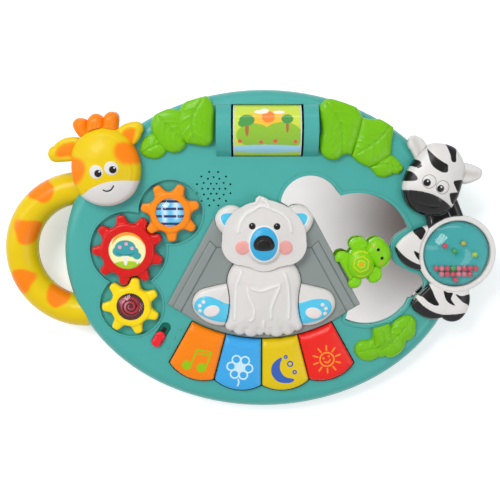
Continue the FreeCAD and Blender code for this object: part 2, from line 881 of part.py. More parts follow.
def hinge_rod(radius, length):
    return Part.makeCylinder(radius, length, point(-length / 2, -HINGE_RADIUS, HINGE_Z), point(1, 0, 0))


def handle_ring(tube_radius, margin=0.0):
    """The handle's curved tube, its ends lengthened by the margin in degrees."""
    sweep = HANDLE_SWEEP + 2 * margin
    ring = Part.makeTorus(HANDLE_RING_RADIUS, tube_radius, point(0, 0), UP, -180, 180, sweep)
    ring.rotate(point(0, 0), UP, HANDLE_START - margin)
    ring.translate(point(HANDLE_X, HANDLE_Y, -PARTING_DEPTH))
    return ring


def rail_block(u_range, v_range, z_range):
    """A block beside the panel's right edge, u along the turtle's travel, v under the panel."""
    return placed(block(u_range, v_range, z_range), TURTLE, RAIL_DIRECTION)


def rail_distance():
    """How far the panel's right edge lies from the turtle's centre."""
    turn = math.radians(RAIL_DIRECTION)
    dx = BEAR[0] + PANEL_FOOT_HALF - TURTLE[0]
    dy = PANEL_FOOT_Y - TURTLE[1]
    return -dx * math.sin(turn) + dy * math.cos(turn)


def front_shell():
    shell = front_envelope()
    hollow = merged(
        shouldered_oval(WALL, -PARTING_DEPTH - 1, -WALL, SHOULDER_RADIUS - WALL),
        prism(giraffe_backing(WALL), -PARTING_DEPTH - 1, -WALL),
        prism(zebra_backing(WALL), -PARTING_DEPTH - 1, -WALL),
    )
    shell = shell.cut([hollow] + hump_hollows())
    rail = rail_distance()
    channel_top = CARRIAGE_LENGTH / 2 + TURTLE_TRAVEL + CHANNEL_GAP
    channel_side = rail + CARRIAGE_REACH + CHANNEL_GAP
    groove_v = rail + CARRIAGE_REACH - CARRIAGE_RIB_INSET
    groove_half = CARRIAGE_RIB_WIDTH / 2 + CHANNEL_GAP
    mirror = mirror_outline()
    figures = [
        prism(grown(panel_outline(), POCKET_GAP), -2, 5),
        prism(grown(bear_skull(), POCKET_GAP), -2, 5),
        mirrored(prism(grown(bear_ear(), POCKET_GAP), -2, 5)),
        prism(grown(pedestal_outline(), -1), -2, 5),
        disc(ZEBRA, RING_OUTER + POCKET_GAP, 0, 5),
        prism(grown(zebra_legs(), POCKET_GAP), 0, 5),
    ]
    lip = prism(grown(mirror, MIRROR_LIP_WIDTH), -1, MIRROR_LIP_HEIGHT).cut(figures)
    additions = [
        lip,
        prism(grown(mirror, WALL), MIRROR_FLOOR - WALL, -1),
        prism(pedestal_outline(), -1, PEDESTAL_TOP).cut([
            disc(ZEBRA, RING_OUTER + SEAT_GAP, 0, 5), prism(grown(zebra_neck_outline(), SEAT_GAP), 0, 5),
        ]),
        rail_block(
            (-CARRIAGE_LENGTH / 2 - WALL, channel_top + WALL),
            (rail - CARRIAGE_TAIL, channel_side + WALL),
            (MIRROR_FLOOR - 0.5, -1),
        ),
    ]
    cuts = [prism(grown(mirror, POCKET_GAP), MIRROR_FLOOR, 5)]
    cuts.append(rail_block(
        (-CARRIAGE_LENGTH / 2 - CHANNEL_GAP, channel_top),
        (rail - CARRIAGE_TAIL, channel_side),
        (MIRROR_TOP, PAST),
    ))
    cuts.append(rail_block(
        (-CARRIAGE_LENGTH / 2 - CHANNEL_GAP, channel_top),
        (groove_v - groove_half, groove_v + groove_half),
        (MIRROR_TOP - CARRIAGE_RIB_HEIGHT - CHANNEL_GAP, 1),
    ))
    # Gear wells, each with its axle post
    axles = []
    for centre, tip in [(place[0], place[2]) for place in gear_places().values()]:
        radius = tip + WELL_GAP
        additions.append(disc(centre, radius + WALL, WELL_FLOOR - WALL, -1))
        additions.append(disc(centre, radius + WELL_RIM_WIDTH, -1, WELL_RIM_HEIGHT))
        cuts.append(disc(centre, radius, WELL_FLOOR, 5))
        axles.append(disc(centre, AXLE_RADIUS, WELL_FLOOR - 1, AXLE_TOP))
    # Posts, bosses and the speaker's collar
    for spot in POST_SPOTS:
        additions.append(disc(spot, POST_RADIUS, -PARTING_DEPTH, -1))
    for spot in boss_spots():
        additions.append(disc(spot, CIRCUIT_BOSS_RADIUS, CIRCUIT_TOP, -1))
    for spot in speaker_boss_spots():
        additions.append(disc(spot, CIRCUIT_BOSS_RADIUS, SPEAKER_FRONT - SPEAKER_FLANGE, -1))
    collar_radius = SPEAKER_RADIUS - SPEAKER_COLLAR_INSET
    collar = disc(SPEAKER, collar_radius, SPEAKER_FRONT, -1)
    additions.append(collar.cut(disc(SPEAKER, collar_radius - WALL, SPEAKER_FRONT - 1, 0)))
    for index in range(KEY_COUNT):
        for lug in hinge_lugs():
            additions.append(placed(lug, KEY_FAN, key_turn(index)))
        opening = grown(key_outline(KEY_SWING_ROOM), KEY_GAP / 2)
        cuts.append(placed(prism(opening, -WALL - 1, 3), KEY_FAN, key_turn(index)))
        bore = hinge_rod(HINGE_PIN_RADIUS + PIN_GRIP_GAP, HINGE_PIN_LENGTH + 1)
        cuts.append(placed(bore, KEY_FAN, key_turn(index)))
    # Switch pocket
    pocket = prism(stadium(SWITCH_SLOT_LENGTH + 2 * WALL, SWITCH_SLOT_WIDTH + 2 * WALL), -WALL - 1, -1)
    additions.append(placed(pocket, SWITCH, SWITCH_DIRECTION))
    slot = prism(stadium(SWITCH_SLOT_LENGTH, SWITCH_SLOT_WIDTH), -SWITCH_SLOT_DEPTH, 3)
    cuts.append(placed(slot, SWITCH, SWITCH_DIRECTION))
    cuts.append(placed(switch_stem_slot(-WALL - 2, 0), SWITCH, SWITCH_DIRECTION))
    # Through openings
    skirt_hole = rounded_block(
        SKIRT_LENGTH + 2 * RUNNING_GAP, SKIRT_HEIGHT + 2 * RUNNING_GAP, SKIRT_CORNER, -WALL - 1, 1
    )
    cuts.append(placed(skirt_hole, (BEAR[0], SKIRT_CENTRE_Y)))
    left, right = roller_window()
    cuts.append(roller_cylinder(ROLLER_RADIUS + ROLLER_SIDE_GAP, left, right))
    cuts.append(disc(ZEBRA, SPINDLE_RADIUS + BEARING_GAP, -WALL - 1, 1))
    cuts.extend(speaker_holes())
    for spot in ALL_PEGS:
        cuts.append(disc(spot, PEG_RADIUS + SEAT_GAP, -WALL - 1, PEDESTAL_TOP + 1))
    for spot in POST_SPOTS:
        bore = HOUSING_SCREW_RADIUS + BEARING_GAP
        cuts.append(disc(spot, bore, -PARTING_DEPTH - 1, HOUSING_BITE + 1 - PARTING_DEPTH))
    for spot in boss_spots() + speaker_boss_spots():
        cuts.append(disc(spot, SCREW_RADIUS + SCREW_HOLE_GAP, CIRCUIT_TOP - 1, -WALL))
    cuts.append(handle_ring(HANDLE_TUBE_RADIUS + SEAT_GAP, 2.0))
    shell = merged(shell, *additions).cut(cuts)
    shell = merged(shell, *axles, *level_marks())
    bores = [disc(place[0], SCREW_RADIUS + SCREW_HOLE_GAP, AXLE_TOP - SCREW_LENGTH - 0.5, AXLE_TOP + 1)
             for place in gear_places().values()]
    return shell.cut(bores).removeSplitter()


def level_marks():
    """Three raised dots beside the switch."""
    return [disc(spot, LEVEL_MARK_RADIUS, -1, LEVEL_MARK_HEIGHT) for spot in LEVEL_MARK_SPOTS]


def switch_stem_slot(low, high):
    length = SWITCH_STEM_LENGTH + SWITCH_TRAVEL + 2 * RUNNING_GAP
    width = SWITCH_STEM_WIDTH + 2 * RUNNING_GAP
    return block((-length / 2, length / 2), (-width / 2, width / 2), (low, high))


def speaker_holes():
    """Rings of holes round a middle one, the outer ring turned to stagger its holes."""
    holes = []
    for ring, count in enumerate(SPEAKER_RING_HOLES):
        turn = SPEAKER_LAST_RING_TURN if ring == len(SPEAKER_RING_HOLES) - 1 else 0.0
        for index in range(count):
            spot = polar(SPEAKER, ring * SPEAKER_RING_PITCH, index * 360.0 / count + turn)
            holes.append(disc(spot, SPEAKER_HOLE_RADIUS, -WALL - 1, 1))
    return holes


def base_oval(inset, height):
    """The housing's outline on the floor side, in the face frame."""
    ellipse = Part.Ellipse(
        point(SHIFT_X, BASE_CENTRE_Y, height),
        BOARD_LENGTH / 2 - BASE_INSET - inset,
        BOARD_WIDTH / 2 / math.cos(SLOPE) - BASE_INSET - inset,
    )
    return from_floor(Part.Wire(ellipse.toShape()))


def wedge(inset):
    """The lower housing: from the tilted parting plane down to the level base."""
    rim = oval(inset).OuterWire
    rim.translate(point(0, 0, -PARTING_DEPTH))
    base = FOOT_GAP + inset
    body = Part.makeLoft([rim, base_oval(inset, base)], True)
    edges = [edge for edge in body.Edges if abs(tilted(edge).CenterOfMass.z - base) < 0.01]
    return body.makeFillet(BASE_ROUNDING - inset, edges)


def battery_box():
    """Half length and half width of the room for the cells."""
    return CELL_LENGTH / 2 + CONTACT_ROOM, CELL_COUNT * CELL_PITCH / 2 + 1.0


def floor_block(half_x, half_y, low, high):
    """A block about the battery box's centre, between two heights over the floor."""
    body = block(
        (SHIFT_X - half_x, SHIFT_X + half_x), (BOX_CENTRE_Y - half_y, BOX_CENTRE_Y + half_y), (low, high)
    )
    return from_floor(body)


def floor_disc(spot, radius, low, high):
    return from_floor(disc((SHIFT_X + spot[0], spot[1]), radius, low, high))


def door_levels():
    """Heights of the door's ledge and of the battery room's ceiling."""
    ledge = FOOT_GAP + DOOR_THICKNESS
    return ledge, ledge + 2 * CELL_RADIUS + 2 * CELL_GAP + 1.0


def door_tab_spot():
    half_width = battery_box()[1] + DOOR_LEDGE
    return (0.0, BOX_CENTRE_Y + half_width + 2.0)


def back_shell():
    lowest = -PARTING_DEPTH
    outer = merged(
        wedge(0),
        prism(giraffe_backing(0), -GIRAFFE_BACKING_DEPTH, lowest),
        prism(zebra_backing(0), -ZEBRA_BACKING_DEPTH, lowest),
    )
    hollow = merged(
        wedge(WALL),
        prism(giraffe_backing(WALL), WALL - GIRAFFE_BACKING_DEPTH, lowest),
        prism(zebra_backing(WALL), WALL - ZEBRA_BACKING_DEPTH, lowest),
    )
    shell = outer.cut(hollow)
    half_x, half_y = battery_box()
    ledge, ceiling = door_levels()
    additions = [floor_block(half_x + DOOR_LEDGE + BOX_WALL, half_y + DOOR_LEDGE + BOX_WALL,
                             FOOT_GAP, ceiling + BOX_WALL)]
    additions.append(floor_disc(
        door_tab_spot(), DOOR_TAB_RADIUS + BOX_WALL, FOOT_GAP, FOOT_GAP + DOOR_BOSS_HEIGHT
    ))
    for spot in POST_SPOTS:
        additions.append(disc(spot, BACK_POST_RADIUS, 2 * -FACE_HEIGHT, lowest).common(outer))
    door_x = half_x + DOOR_LEDGE + POCKET_GAP
    door_y = half_y + DOOR_LEDGE + POCKET_GAP
    screw_end = FOOT_GAP + DOOR_SCREW_REACH + PAST
    cuts = [
        floor_block(half_x, half_y, FOOT_GAP - PAST, ceiling),
        floor_block(door_x, door_y, FOOT_GAP - PAST, ledge),
        floor_disc(door_tab_spot(), DOOR_TAB_RADIUS + POCKET_GAP, FOOT_GAP - PAST, ledge),
        floor_disc(door_tab_spot(), SCREW_RADIUS + SCREW_HOLE_GAP, FOOT_GAP - PAST, screw_end),
        handle_ring(HANDLE_TUBE_RADIUS + SEAT_GAP, 2.0),
    ]
    for spot in FOOT_SPOTS:
        cuts.append(floor_disc(foot_place(spot), FOOT_RADIUS + SEAT_GAP, FOOT_GAP - PAST, FOOT_HEIGHT))
    for spot in POST_SPOTS:
        cuts.append(disc(spot, HOUSING_SCREW_RADIUS + SHANK_GAP, 2 * -FACE_HEIGHT, lowest + PAST))
        cuts.append(disc(spot, HOUSING_HEAD_RADIUS + HEAD_GAP, 2 * -FACE_HEIGHT, lowest - HOUSING_GRIP))
    return shell.fuse(additions).cut(cuts)


def foot_place(spot):
    return (spot[0], spot[1] + BASE_CENTRE_Y)


def rubber_feet():
    return Part.makeCompound([
        floor_disc(foot_place(spot), FOOT_RADIUS, 0, FOOT_HEIGHT) for spot in FOOT_SPOTS
    ])


def housing_screws():
    screws = []
    for spot in POST_SPOTS:
        seat = -PARTING_DEPTH - HOUSING_GRIP
        head = disc(spot, HOUSING_HEAD_RADIUS, seat - HOUSING_HEAD_HEIGHT, seat)
        shank = disc(spot, HOUSING_SCREW_RADIUS, seat, HOUSING_BITE - PARTING_DEPTH)
        screws.append(merged(head, shank))
    return Part.makeCompound(screws)


def battery_door():
    half_x, half_y = battery_box()
    ledge = door_levels()[0]
    plate = floor_block(half_x + DOOR_LEDGE, half_y + DOOR_LEDGE, FOOT_GAP, ledge)
    tab = floor_disc(door_tab_spot(), DOOR_TAB_RADIUS, FOOT_GAP, ledge)
    seat = floor_disc(door_tab_spot(), SCREW_HEAD_RADIUS + SEAT_GAP, FOOT_GAP - PAST,
                      FOOT_GAP + DOOR_SCREW_HEAD)
    bore = floor_disc(door_tab_spot(), SCREW_RADIUS + SCREW_HOLE_GAP, FOOT_GAP - PAST, ledge + PAST)
    return merged(plate, tab).cut([seat, bore])


def battery_door_screw():
    spot = door_tab_spot()
    neck = FOOT_GAP + DOOR_SCREW_HEAD
    head = floor_disc(spot, SCREW_HEAD_RADIUS, FOOT_GAP, neck)
    shank = floor_disc(spot, SCREW_RADIUS, neck, FOOT_GAP + DOOR_SCREW_REACH)
    return merged(head, shank)


def cell_axes():
    """Height of the cells' axes over the floor and their places across the box."""
    height = door_levels()[0] + CELL_GAP + CELL_RADIUS
    first = BOX_CENTRE_Y - (CELL_COUNT - 1) * CELL_PITCH / 2
    return height, [first + index * CELL_PITCH for index in range(CELL_COUNT)]


def cell_rod(y, height, radius, start, end):
    rod = Part.makeCylinder(radius, end - start, point(SHIFT_X + start, y, height), point(1, 0, 0))
    return from_floor(rod)


def batteries():
    height, rows = cell_axes()
    cells = []
    for index, y in enumerate(rows):
        facing = 1 if index % 2 else -1
        shoulder = facing * (CELL_LENGTH / 2 - CELL_NUB_LENGTH)
        nub = sorted((facing * CELL_LENGTH / 2, shoulder))
        can = sorted((-facing * CELL_LENGTH / 2, shoulder))
        cells.append(merged(
            cell_rod(y, height, CELL_RADIUS, can[0], can[1]),
            cell_rod(y, height, CELL_NUB_RADIUS, nub[0], nub[1]),
        ))
    return Part.makeCompound(cells)


def battery_contacts():
    """A plate at each end of each cell, with a cone spring or a flat stud."""
    height, rows = cell_axes()
    end = battery_box()[0]
    contacts = []
    for index, y in enumerate(rows):
        facing = 1 if index % 2 else -1
        for side in (-1, 1):
            outer = side * end
            inner = side * (end - CONTACT_THICKNESS)
            low, high = sorted((outer, inner))
            half = CELL_RADIUS - 1.0
            plate = block(
                (SHIFT_X + low, SHIFT_X + high), (y - half, y + half), (height - half, height + half)
            )
            length = abs(side * CELL_LENGTH / 2 - inner)
            foot = point(SHIFT_X + inner, y, height)
            inward = point(-side, 0, 0)
            if side == facing:
                stud = Part.makeCylinder(STUD_RADIUS, length, foot, inward)
            else:
                stud = Part.makeCone(SPRING_RADII[0], SPRING_RADII[1], length, foot, inward)
            contacts.append(merged(from_floor(plate), from_floor(stud)))
    return Part.makeCompound(contacts)


# Inner works

def circuit_board():
    """The board with a chip and a coil under it."""
    under = CIRCUIT_TOP - CIRCUIT_THICKNESS
    board = block(CIRCUIT_X, CIRCUIT_Y, (under, CIRCUIT_TOP))
    chip = block(CHIP_X, CHIP_Y, (under - CHIP_HEIGHT, under))
    coil = disc(COIL_SPOT, COIL_RADIUS, under - COIL_HEIGHT, under)
    hole_radius = SCREW_RADIUS + SCREW_HOLE_GAP
    holes = [disc(spot, hole_radius, under - PAST, CIRCUIT_TOP + PAST) for spot in boss_spots()]
    return merged(board, chip, coil).cut(holes)


def contact_pads():
    spots = [polar(KEY_FAN, KEY_RIB_RADIUS, key_turn(index) - 90) for index in range(KEY_COUNT)]
    spots += [(BEAR[0] + x, y) for x, y in BEAR_PAD_SPOTS]
    pads = []
    for spot in spots:
        foot = point(spot[0], spot[1], CIRCUIT_TOP)
        pads.append(Part.makeCone(PAD_RADIUS, PAD_RADIUS - PAD_TAPER, PAD_TOP - CIRCUIT_TOP, foot, UP))
    return Part.makeCompound(pads)


def leds():
    lamps = []
    for x, y in LAMP_SPOTS:
        neck = CIRCUIT_TOP + LAMP_HEIGHT - LAMP_RADIUS
        stem = disc((x, y), LAMP_RADIUS, CIRCUIT_TOP, neck)
        lamps.append(merged(stem, Part.makeSphere(LAMP_RADIUS, point(x, y, neck))))
    return Part.makeCompound(lamps)


def speaker():
    """A flange, a cone-shaped basket, a magnet, and the dish of the cone in front."""
    throat = SPEAKER_FRONT - SPEAKER_FLANGE
    basket_bottom = throat - SPEAKER_BASKET_DEPTH
    dish_bottom = SPEAKER_FRONT - SPEAKER_CONE_DEPTH
    flange = disc(SPEAKER, SPEAKER_RADIUS, throat, SPEAKER_FRONT)
    basket = Part.makeCone(
        SPEAKER_MAGNET_RADIUS + 1.0, SPEAKER_RADIUS - SPEAKER_BASKET_MARGIN, SPEAKER_BASKET_DEPTH,
        point(SPEAKER[0], SPEAKER[1], basket_bottom), UP,
    )
    magnet = disc(SPEAKER, SPEAKER_MAGNET_RADIUS, SPEAKER_FRONT - SPEAKER_DEPTH, basket_bottom + 1.0)
    dish = Part.makeCone(
        SPEAKER_COIL_RADIUS, SPEAKER_RADIUS - SPEAKER_CONE_MARGIN, SPEAKER_CONE_DEPTH,
        point(SPEAKER[0], SPEAKER[1], dish_bottom), UP,
    )
    return merged(flange, basket, magnet).cut(dish)


def speaker_clamp():
    """The ring that presses the speaker's flange to its collar, with two screw ears."""
    back = SPEAKER_FRONT - SPEAKER_FLANGE
    low = back - CLAMP_THICKNESS
    window = SPEAKER_RADIUS - SPEAKER_BASKET_MARGIN + POCKET_GAP
    solids = [disc(SPEAKER, SPEAKER_RADIUS, low, back)]
    cuts = [disc(SPEAKER, window, low - PAST, back + PAST)]
    for spot, angle in zip(speaker_boss_spots(), SPEAKER_BOSS_ANGLES):
        bridge = block(
            (window + 1.0, SPEAKER_BOSS_RADIUS), (-CLAMP_BRIDGE_HALF, CLAMP_BRIDGE_HALF), (low, back)
        )
        solids.append(placed(bridge, SPEAKER, angle))
        solids.append(disc(spot, CIRCUIT_BOSS_RADIUS + 1.0, low, back))
        cuts.append(disc(spot, SCREW_RADIUS + SCREW_HOLE_GAP, low - PAST, back + PAST))
    return merged(*solids).cut(cuts)


def inner_screws():
    screws = [small_screw(spot) for spot in ALL_PEGS]
    screws += [small_screw(spot, CIRCUIT_TOP - CIRCUIT_THICKNESS) for spot in boss_spots()]
    clamp_back = SPEAKER_FRONT - SPEAKER_FLANGE - CLAMP_THICKNESS
    screws += [small_screw(spot, clamp_back) for spot in speaker_boss_spots()]
    return Part.makeCompound(screws)


# Gears

def gear_blank(root, tip, teeth):
    """Rounded spur teeth: straight flanks, an arched tip and an arched root."""
    pitch = 360.0 / teeth
    base = root + TOOTH_RISE
    shoulder = tip - TOOTH_CORNER

    def turned(x, y, angle):
        turn = math.radians(angle)
        return (x * math.cos(turn) - y * math.sin(turn), x * math.sin(turn) + y * math.cos(turn))

    steps = []
    for index in range(teeth):
        angle = index * pitch
        steps.append(turned(shoulder, -TOOTH_TIP_HALF, angle))
        steps.append((turned(tip, 0, angle), turned(shoulder, TOOTH_TIP_HALF, angle)))
        steps.append(turned(base, TOOTH_BASE_HALF, angle))
        steps.append((turned(root, 0, angle + pitch / 2), turned(base, -TOOTH_BASE_HALF, angle + pitch)))
    outline = path(turned(base, -TOOTH_BASE_HALF, 0), *steps)
    return crowned(outline, GEAR_BOTTOM, GEAR_TOP - GEAR_CROWN, GEAR_TOP, 0)


def gear(colour):
    centre, root, tip, teeth = gear_places()[colour]
    seat = RED_DISC_RADIUS if colour == "red" else GEAR_LENS_RADIUS
    collar = disc((0, 0), seat + GEAR_COLLAR_WIDTH, GEAR_BOTTOM, GEAR_TOP + GEAR_COLLAR_RISE)
    body = merged(gear_blank(root, tip, teeth), collar)
    body = body.cut([
        disc((0, 0), seat + SEAT_GAP, GEAR_LENS_SEAT, 2 * GEAR_TOP),
        disc((0, 0), seat - GEAR_LEDGE, GEAR_WEB_TOP, 2 * GEAR_TOP),
        disc((0, 0), AXLE_RADIUS + 2 * BEARING_GAP, GEAR_BOTTOM - PAST, 2 * GEAR_TOP),
    ])
    return placed(body, centre, gear_phase(colour))


def gear_phase(colour):
    """Turn that meshes each small gear's tooth with the red gear's gap beside it."""
    half_red = 180.0 / RED_TEETH
    if colour == "red":
        return ORANGE_DIRECTION + half_red
    if colour == "orange":
        return ORANGE_DIRECTION + 180.0
    between = YELLOW_DIRECTION - ORANGE_DIRECTION
    return YELLOW_DIRECTION + 180.0 + between * RED_TEETH / SMALL_TEETH


def gear_lens(colour):
    """A clear domed lens in each small gear."""
    centre = gear_places()[colour][0]
    middle = GEAR_LENS_SEAT + LENS_SEAT_THICKNESS
    rim = middle + LENS_EDGE
    seat = disc((0, 0), GEAR_LENS_RADIUS, GEAR_LENS_SEAT, middle)
    dome = crowned(disc_outline(GEAR_LENS_RADIUS), middle, rim, rim + LENS_RISE, 0)
    return placed(merged(seat, dome), centre)


def disc_outline(radius):
    return Part.Wire(Part.makeCircle(radius))


def gear_red_disc():
    return disc(RED_GEAR, RED_DISC_RADIUS, GEAR_LENS_SEAT, GEAR_LENS_SEAT + RED_DISC_THICKNESS)


def gear_screws():
    """Capped screws that keep the gears on their posts."""
    screws = []
    for centre in [place[0] for place in gear_places().values()]:
        cap = disc(centre, AXLE_CAP_RADIUS, AXLE_TOP, AXLE_TOP + AXLE_CAP_HEIGHT)
        shank = disc(centre, SCREW_RADIUS, AXLE_TOP - SCREW_LENGTH, AXLE_TOP)
        screws.append(merged(cap, shank))
    return Part.makeCompound(screws)


# Roller

def roller_drum():
    right = ROLLER_LEFT + ROLLER_LENGTH
    core_radius = ROLLER_RADIUS - ROLLER_SLEEVE
    core = roller_cylinder(core_radius, ROLLER_LEFT, right)
    flanges = [
        roller_cylinder(ROLLER_RADIUS, ROLLER_LEFT, ROLLER_LEFT + ROLLER_FLANGE),
        roller_cylinder(ROLLER_RADIUS, right - ROLLER_FLANGE, right),
    ]
    stubs = roller_cylinder(
        ROLLER_STUB_RADIUS, ROLLER_LEFT - ROLLER_STUB_LENGTH, right + ROLLER_STUB_LENGTH
    )
    room = roller_cylinder(core_radius - ROLLER_WALL, ROLLER_LEFT + ROLLER_WALL, right - ROLLER_WALL)
    shell = merged(core, *flanges).cut(room)
    return merged(shell, stubs)


def roller_sleeve():
    left = ROLLER_LEFT + ROLLER_FLANGE
    right = ROLLER_LEFT + ROLLER_LENGTH - ROLLER_FLANGE
    tube = roller_cylinder(ROLLER_RADIUS, left, right)
    return tube.cut(roller_cylinder(ROLLER_RADIUS - ROLLER_SLEEVE, left - 1, right + 1))


def roller_brackets():
    """A bearing plate under each hood, hung from the face plate."""
    left, right = roller_window()
    half = ROLLER_RADIUS + BRACKET_MARGIN
    profile = (
        (-half, -WALL), (half, -WALL), (half, -WALL - BRACKET_FLANK), (BRACKET_TIP_HALF, -BRACKET_DEPTH),
        (-BRACKET_TIP_HALF, -BRACKET_DEPTH), (-half, -WALL - BRACKET_FLANK), (-half, -WALL),
    )
    envelope = shouldered_oval(WALL, -PARTING_DEPTH - PAST, -WALL, SHOULDER_RADIUS - WALL)
    brackets = []
    for start in (left - BRACKET_THICKNESS - BRACKET_GAP, right + BRACKET_GAP):
        outline = Part.makePolygon([point(start, ROLLER_AXIS_Y + y, z) for y, z in profile])
        plate = Part.Face(outline).extrude(point(BRACKET_THICKNESS, 0, 0))
        end = start + BRACKET_THICKNESS
        bore = roller_cylinder(ROLLER_STUB_RADIUS + BEARING_GAP, start - PAST, end + PAST)
        brackets.append(plate.common(envelope).cut(bore))
    return Part.makeCompound(brackets)


# Keys

def key(index):
    outline = grown(key_outline(), -KEY_GAP / 2)
    cap = crowned(outline, KEY_SKIRT, KEY_RIM, KEY_TOP, KEY_ROUNDING)
    room = prism(grown(outline, -KEY_WALL), KEY_SKIRT - 1, KEY_RIM - 2 * KEY_WALL)
    half = KEY_TONGUE_WIDTH / 2
    inner = -KEY_INNER_RADIUS - KEY_GAP / 2
    root = inner - KEY_WALL - KEY_TONGUE_GRIP
    tongue_low = HINGE_Z - KEY_TONGUE_THICKNESS / 2
    rib_far = -KEY_RIB_RADIUS - KEY_RIB_THICKNESS / 2
    tongue = block((-half, half), (root, -HINGE_RADIUS), (tongue_low, HINGE_Z + KEY_TONGUE_THICKNESS / 2))
    web = block((-half, half), (root, inner - SEAT_GAP), (tongue_low, 0))
    rib = block((-half, half), (rib_far, rib_far + KEY_RIB_THICKNESS), (KEY_RIB_BOTTOM, KEY_RIM - KEY_WALL))
    knuckle = hinge_rod(HINGE_KNUCKLE_RADIUS, KEY_TONGUE_WIDTH)
    body = merged(cap.cut(room), tongue, web, rib, knuckle)
    body = body.cut(hinge_rod(HINGE_PIN_RADIUS + BEARING_GAP, KEY_TONGUE_WIDTH + 2))
    return placed(body, KEY_FAN, key_turn(index))


def key_hinge_pins():
    rod = hinge_rod(HINGE_PIN_RADIUS, HINGE_PIN_LENGTH)
    return Part.makeCompound([placed(rod, KEY_FAN, key_turn(index)) for index in range(KEY_COUNT)])


# Bear and rock panel

def rock_panel():
    outline = panel_outline()
    plate = prism(outline, 0, PANEL_THICKNESS)
    slope = math.degrees(math.atan2(PANEL_TOP_Y - PANEL_FOOT_Y, PANEL_FOOT_HALF - PANEL_TOP_HALF))
    rail = block((-4, PANEL_RAIL_LENGTH), (-PANEL_RAIL_INSET - PANEL_RAIL_WIDTH, -PANEL_RAIL_INSET),
                 (0, PANEL_RAIL_TOP))
    rail = placed(rail, (BEAR[0] - PANEL_FOOT_HALF, PANEL_FOOT_Y), slope)
    rail = rail.common(prism(outline, 0, PANEL_RAIL_TOP + 1))
    panel = merged(plate, rail, mirrored(rail))
    ear = prism(grown(bear_ear(), POCKET_GAP), -1, 20)
    leg = prism(grown(bear_leg_outline(), POCKET_GAP), -1, 20)
    pockets = [
        prism(grown(bear_skull(), POCKET_GAP), -1, 20),
        ear,
        mirrored(ear),
        prism(grown(bear_body_outline(), RUNNING_GAP), -1, 20),
        leg,
        mirrored(leg),
    ]
    panel = panel.cut(pockets)
    pieces = [solid for solid in panel.Solids if solid.Volume > 500]
    return pegged(Part.makeCompound(pieces), PANEL_PEGS)


def bear_head():
    skull = crowned(bear_skull(), 0, BEAR_HEAD_RIM, BEAR_HEAD_TOP, FIGURE_ROUNDING)
    ear = crowned(bear_ear(), 0, BEAR_HEAD_RIM - BEAR_EAR_DROP, BEAR_HEAD_RIM, EAR_ROUNDING)
    muzzle = ellipsoid((BEAR[0], BEAR_MUZZLE_Y, BEAR_HEAD_TOP - BEAR_MUZZLE_DEPTH), *BEAR_MUZZLE_SEMI_AXES)
    head = merged(skull, ear, mirrored(ear), muzzle)
    return pegged(head.cut(bear_nose()), BEAR_HEAD_PEGS)


def bear_nose():
    return ellipsoid((BEAR[0], BEAR_NOSE_Y, BEAR_HEAD_TOP + BEAR_NOSE_LIFT), *BEAR_NOSE_SEMI_AXES)


def bear_body():
    outline = bear_body_outline()
    body = crowned(outline, BEAR_BODY_BOTTOM, BEAR_BODY_RIM, BEAR_BODY_TOP, BEAR_BODY_ROUNDING)
    body = body.cut(prism(grown(bear_skull(), RUNNING_GAP), 0, 30))
    centre = (BEAR[0], SKIRT_CENTRE_Y)
    skirt = rounded_block(SKIRT_LENGTH, SKIRT_HEIGHT, SKIRT_CORNER, SKIRT_BOTTOM, BEAR_BODY_RIM - 1.0)
    skirt = placed(skirt, centre).common(prism(outline, SKIRT_BOTTOM - PAST, BEAR_BODY_TOP))
    room = rounded_block(
        SKIRT_LENGTH - 2 * SKIRT_WALL, SKIRT_HEIGHT - 2 * SKIRT_WALL, SKIRT_CORNER - SKIRT_WALL / 2,
        SKIRT_BOTTOM - PAST, BEAR_BODY_RIM - SKIRT_WALL,
    )
    return merged(body, skirt).cut(placed(room, centre))


def bear_plunger():
    """The frame under the face plate that stops the belly button's lift and works its pads."""
    centre = (BEAR[0], SKIRT_CENTRE_Y)
    grip = 2 * (RUNNING_GAP + PLUNGER_OVERLAP)
    low = SKIRT_BOTTOM - PLUNGER_THICKNESS
    frame = rounded_block(SKIRT_LENGTH + grip, SKIRT_HEIGHT + grip, SKIRT_CORNER, low, SKIRT_BOTTOM)
    window = rounded_block(
        SKIRT_LENGTH - 4 * SKIRT_WALL, SKIRT_HEIGHT - 2 * PLUNGER_BAR, SKIRT_CORNER,
        low - PAST, SKIRT_BOTTOM + PAST,
    )
    return placed(frame.cut(window), centre)


def bear_legs():
    leg = crowned(bear_leg_outline(), 0, BEAR_LEG_RIM, BEAR_LEG_TOP, 0)
    body = prism(grown(bear_body_outline(), RUNNING_GAP), -5, 30)
    legs = [leg.cut(body), mirrored(leg).cut(body)]
    pegs = sorted(BEAR_LEG_PEGS)
    return Part.makeCompound([pegged(legs[0], pegs[:1]), pegged(legs[1], pegs[1:])])


# Giraffe and handle

def giraffe_muzzle_region():
    outline = path(
        (-40, -23.2), (-20.4, -23.2), ((3.9, -11.3), (30.4, -11.3)), (45, -11.3), (45, -50), (-40, -50),
        origin=GIRAFFE,
    )
    return prism(outline, -1, 40)


def giraffe_head():
    skull = crowned(giraffe_skull(), 0, GIRAFFE_RIM, GIRAFFE_TOP, FIGURE_ROUNDING)
    ears = [crowned(ear, 0, GIRAFFE_EAR_RIM, GIRAFFE_EAR_TOP, EAR_ROUNDING) for ear in giraffe_ears()]
    head = merged(skull, *ears).cut(giraffe_muzzle_region())
    return pegged(head, GIRAFFE_PEGS)


def giraffe_muzzle():
    rim = GIRAFFE_RIM + MUZZLE_RIM_STEP
    whole = crowned(giraffe_skull(), 0, rim, GIRAFFE_TOP + MUZZLE_TOP_STEP, FIGURE_ROUNDING)
    return whole.common(giraffe_muzzle_region())


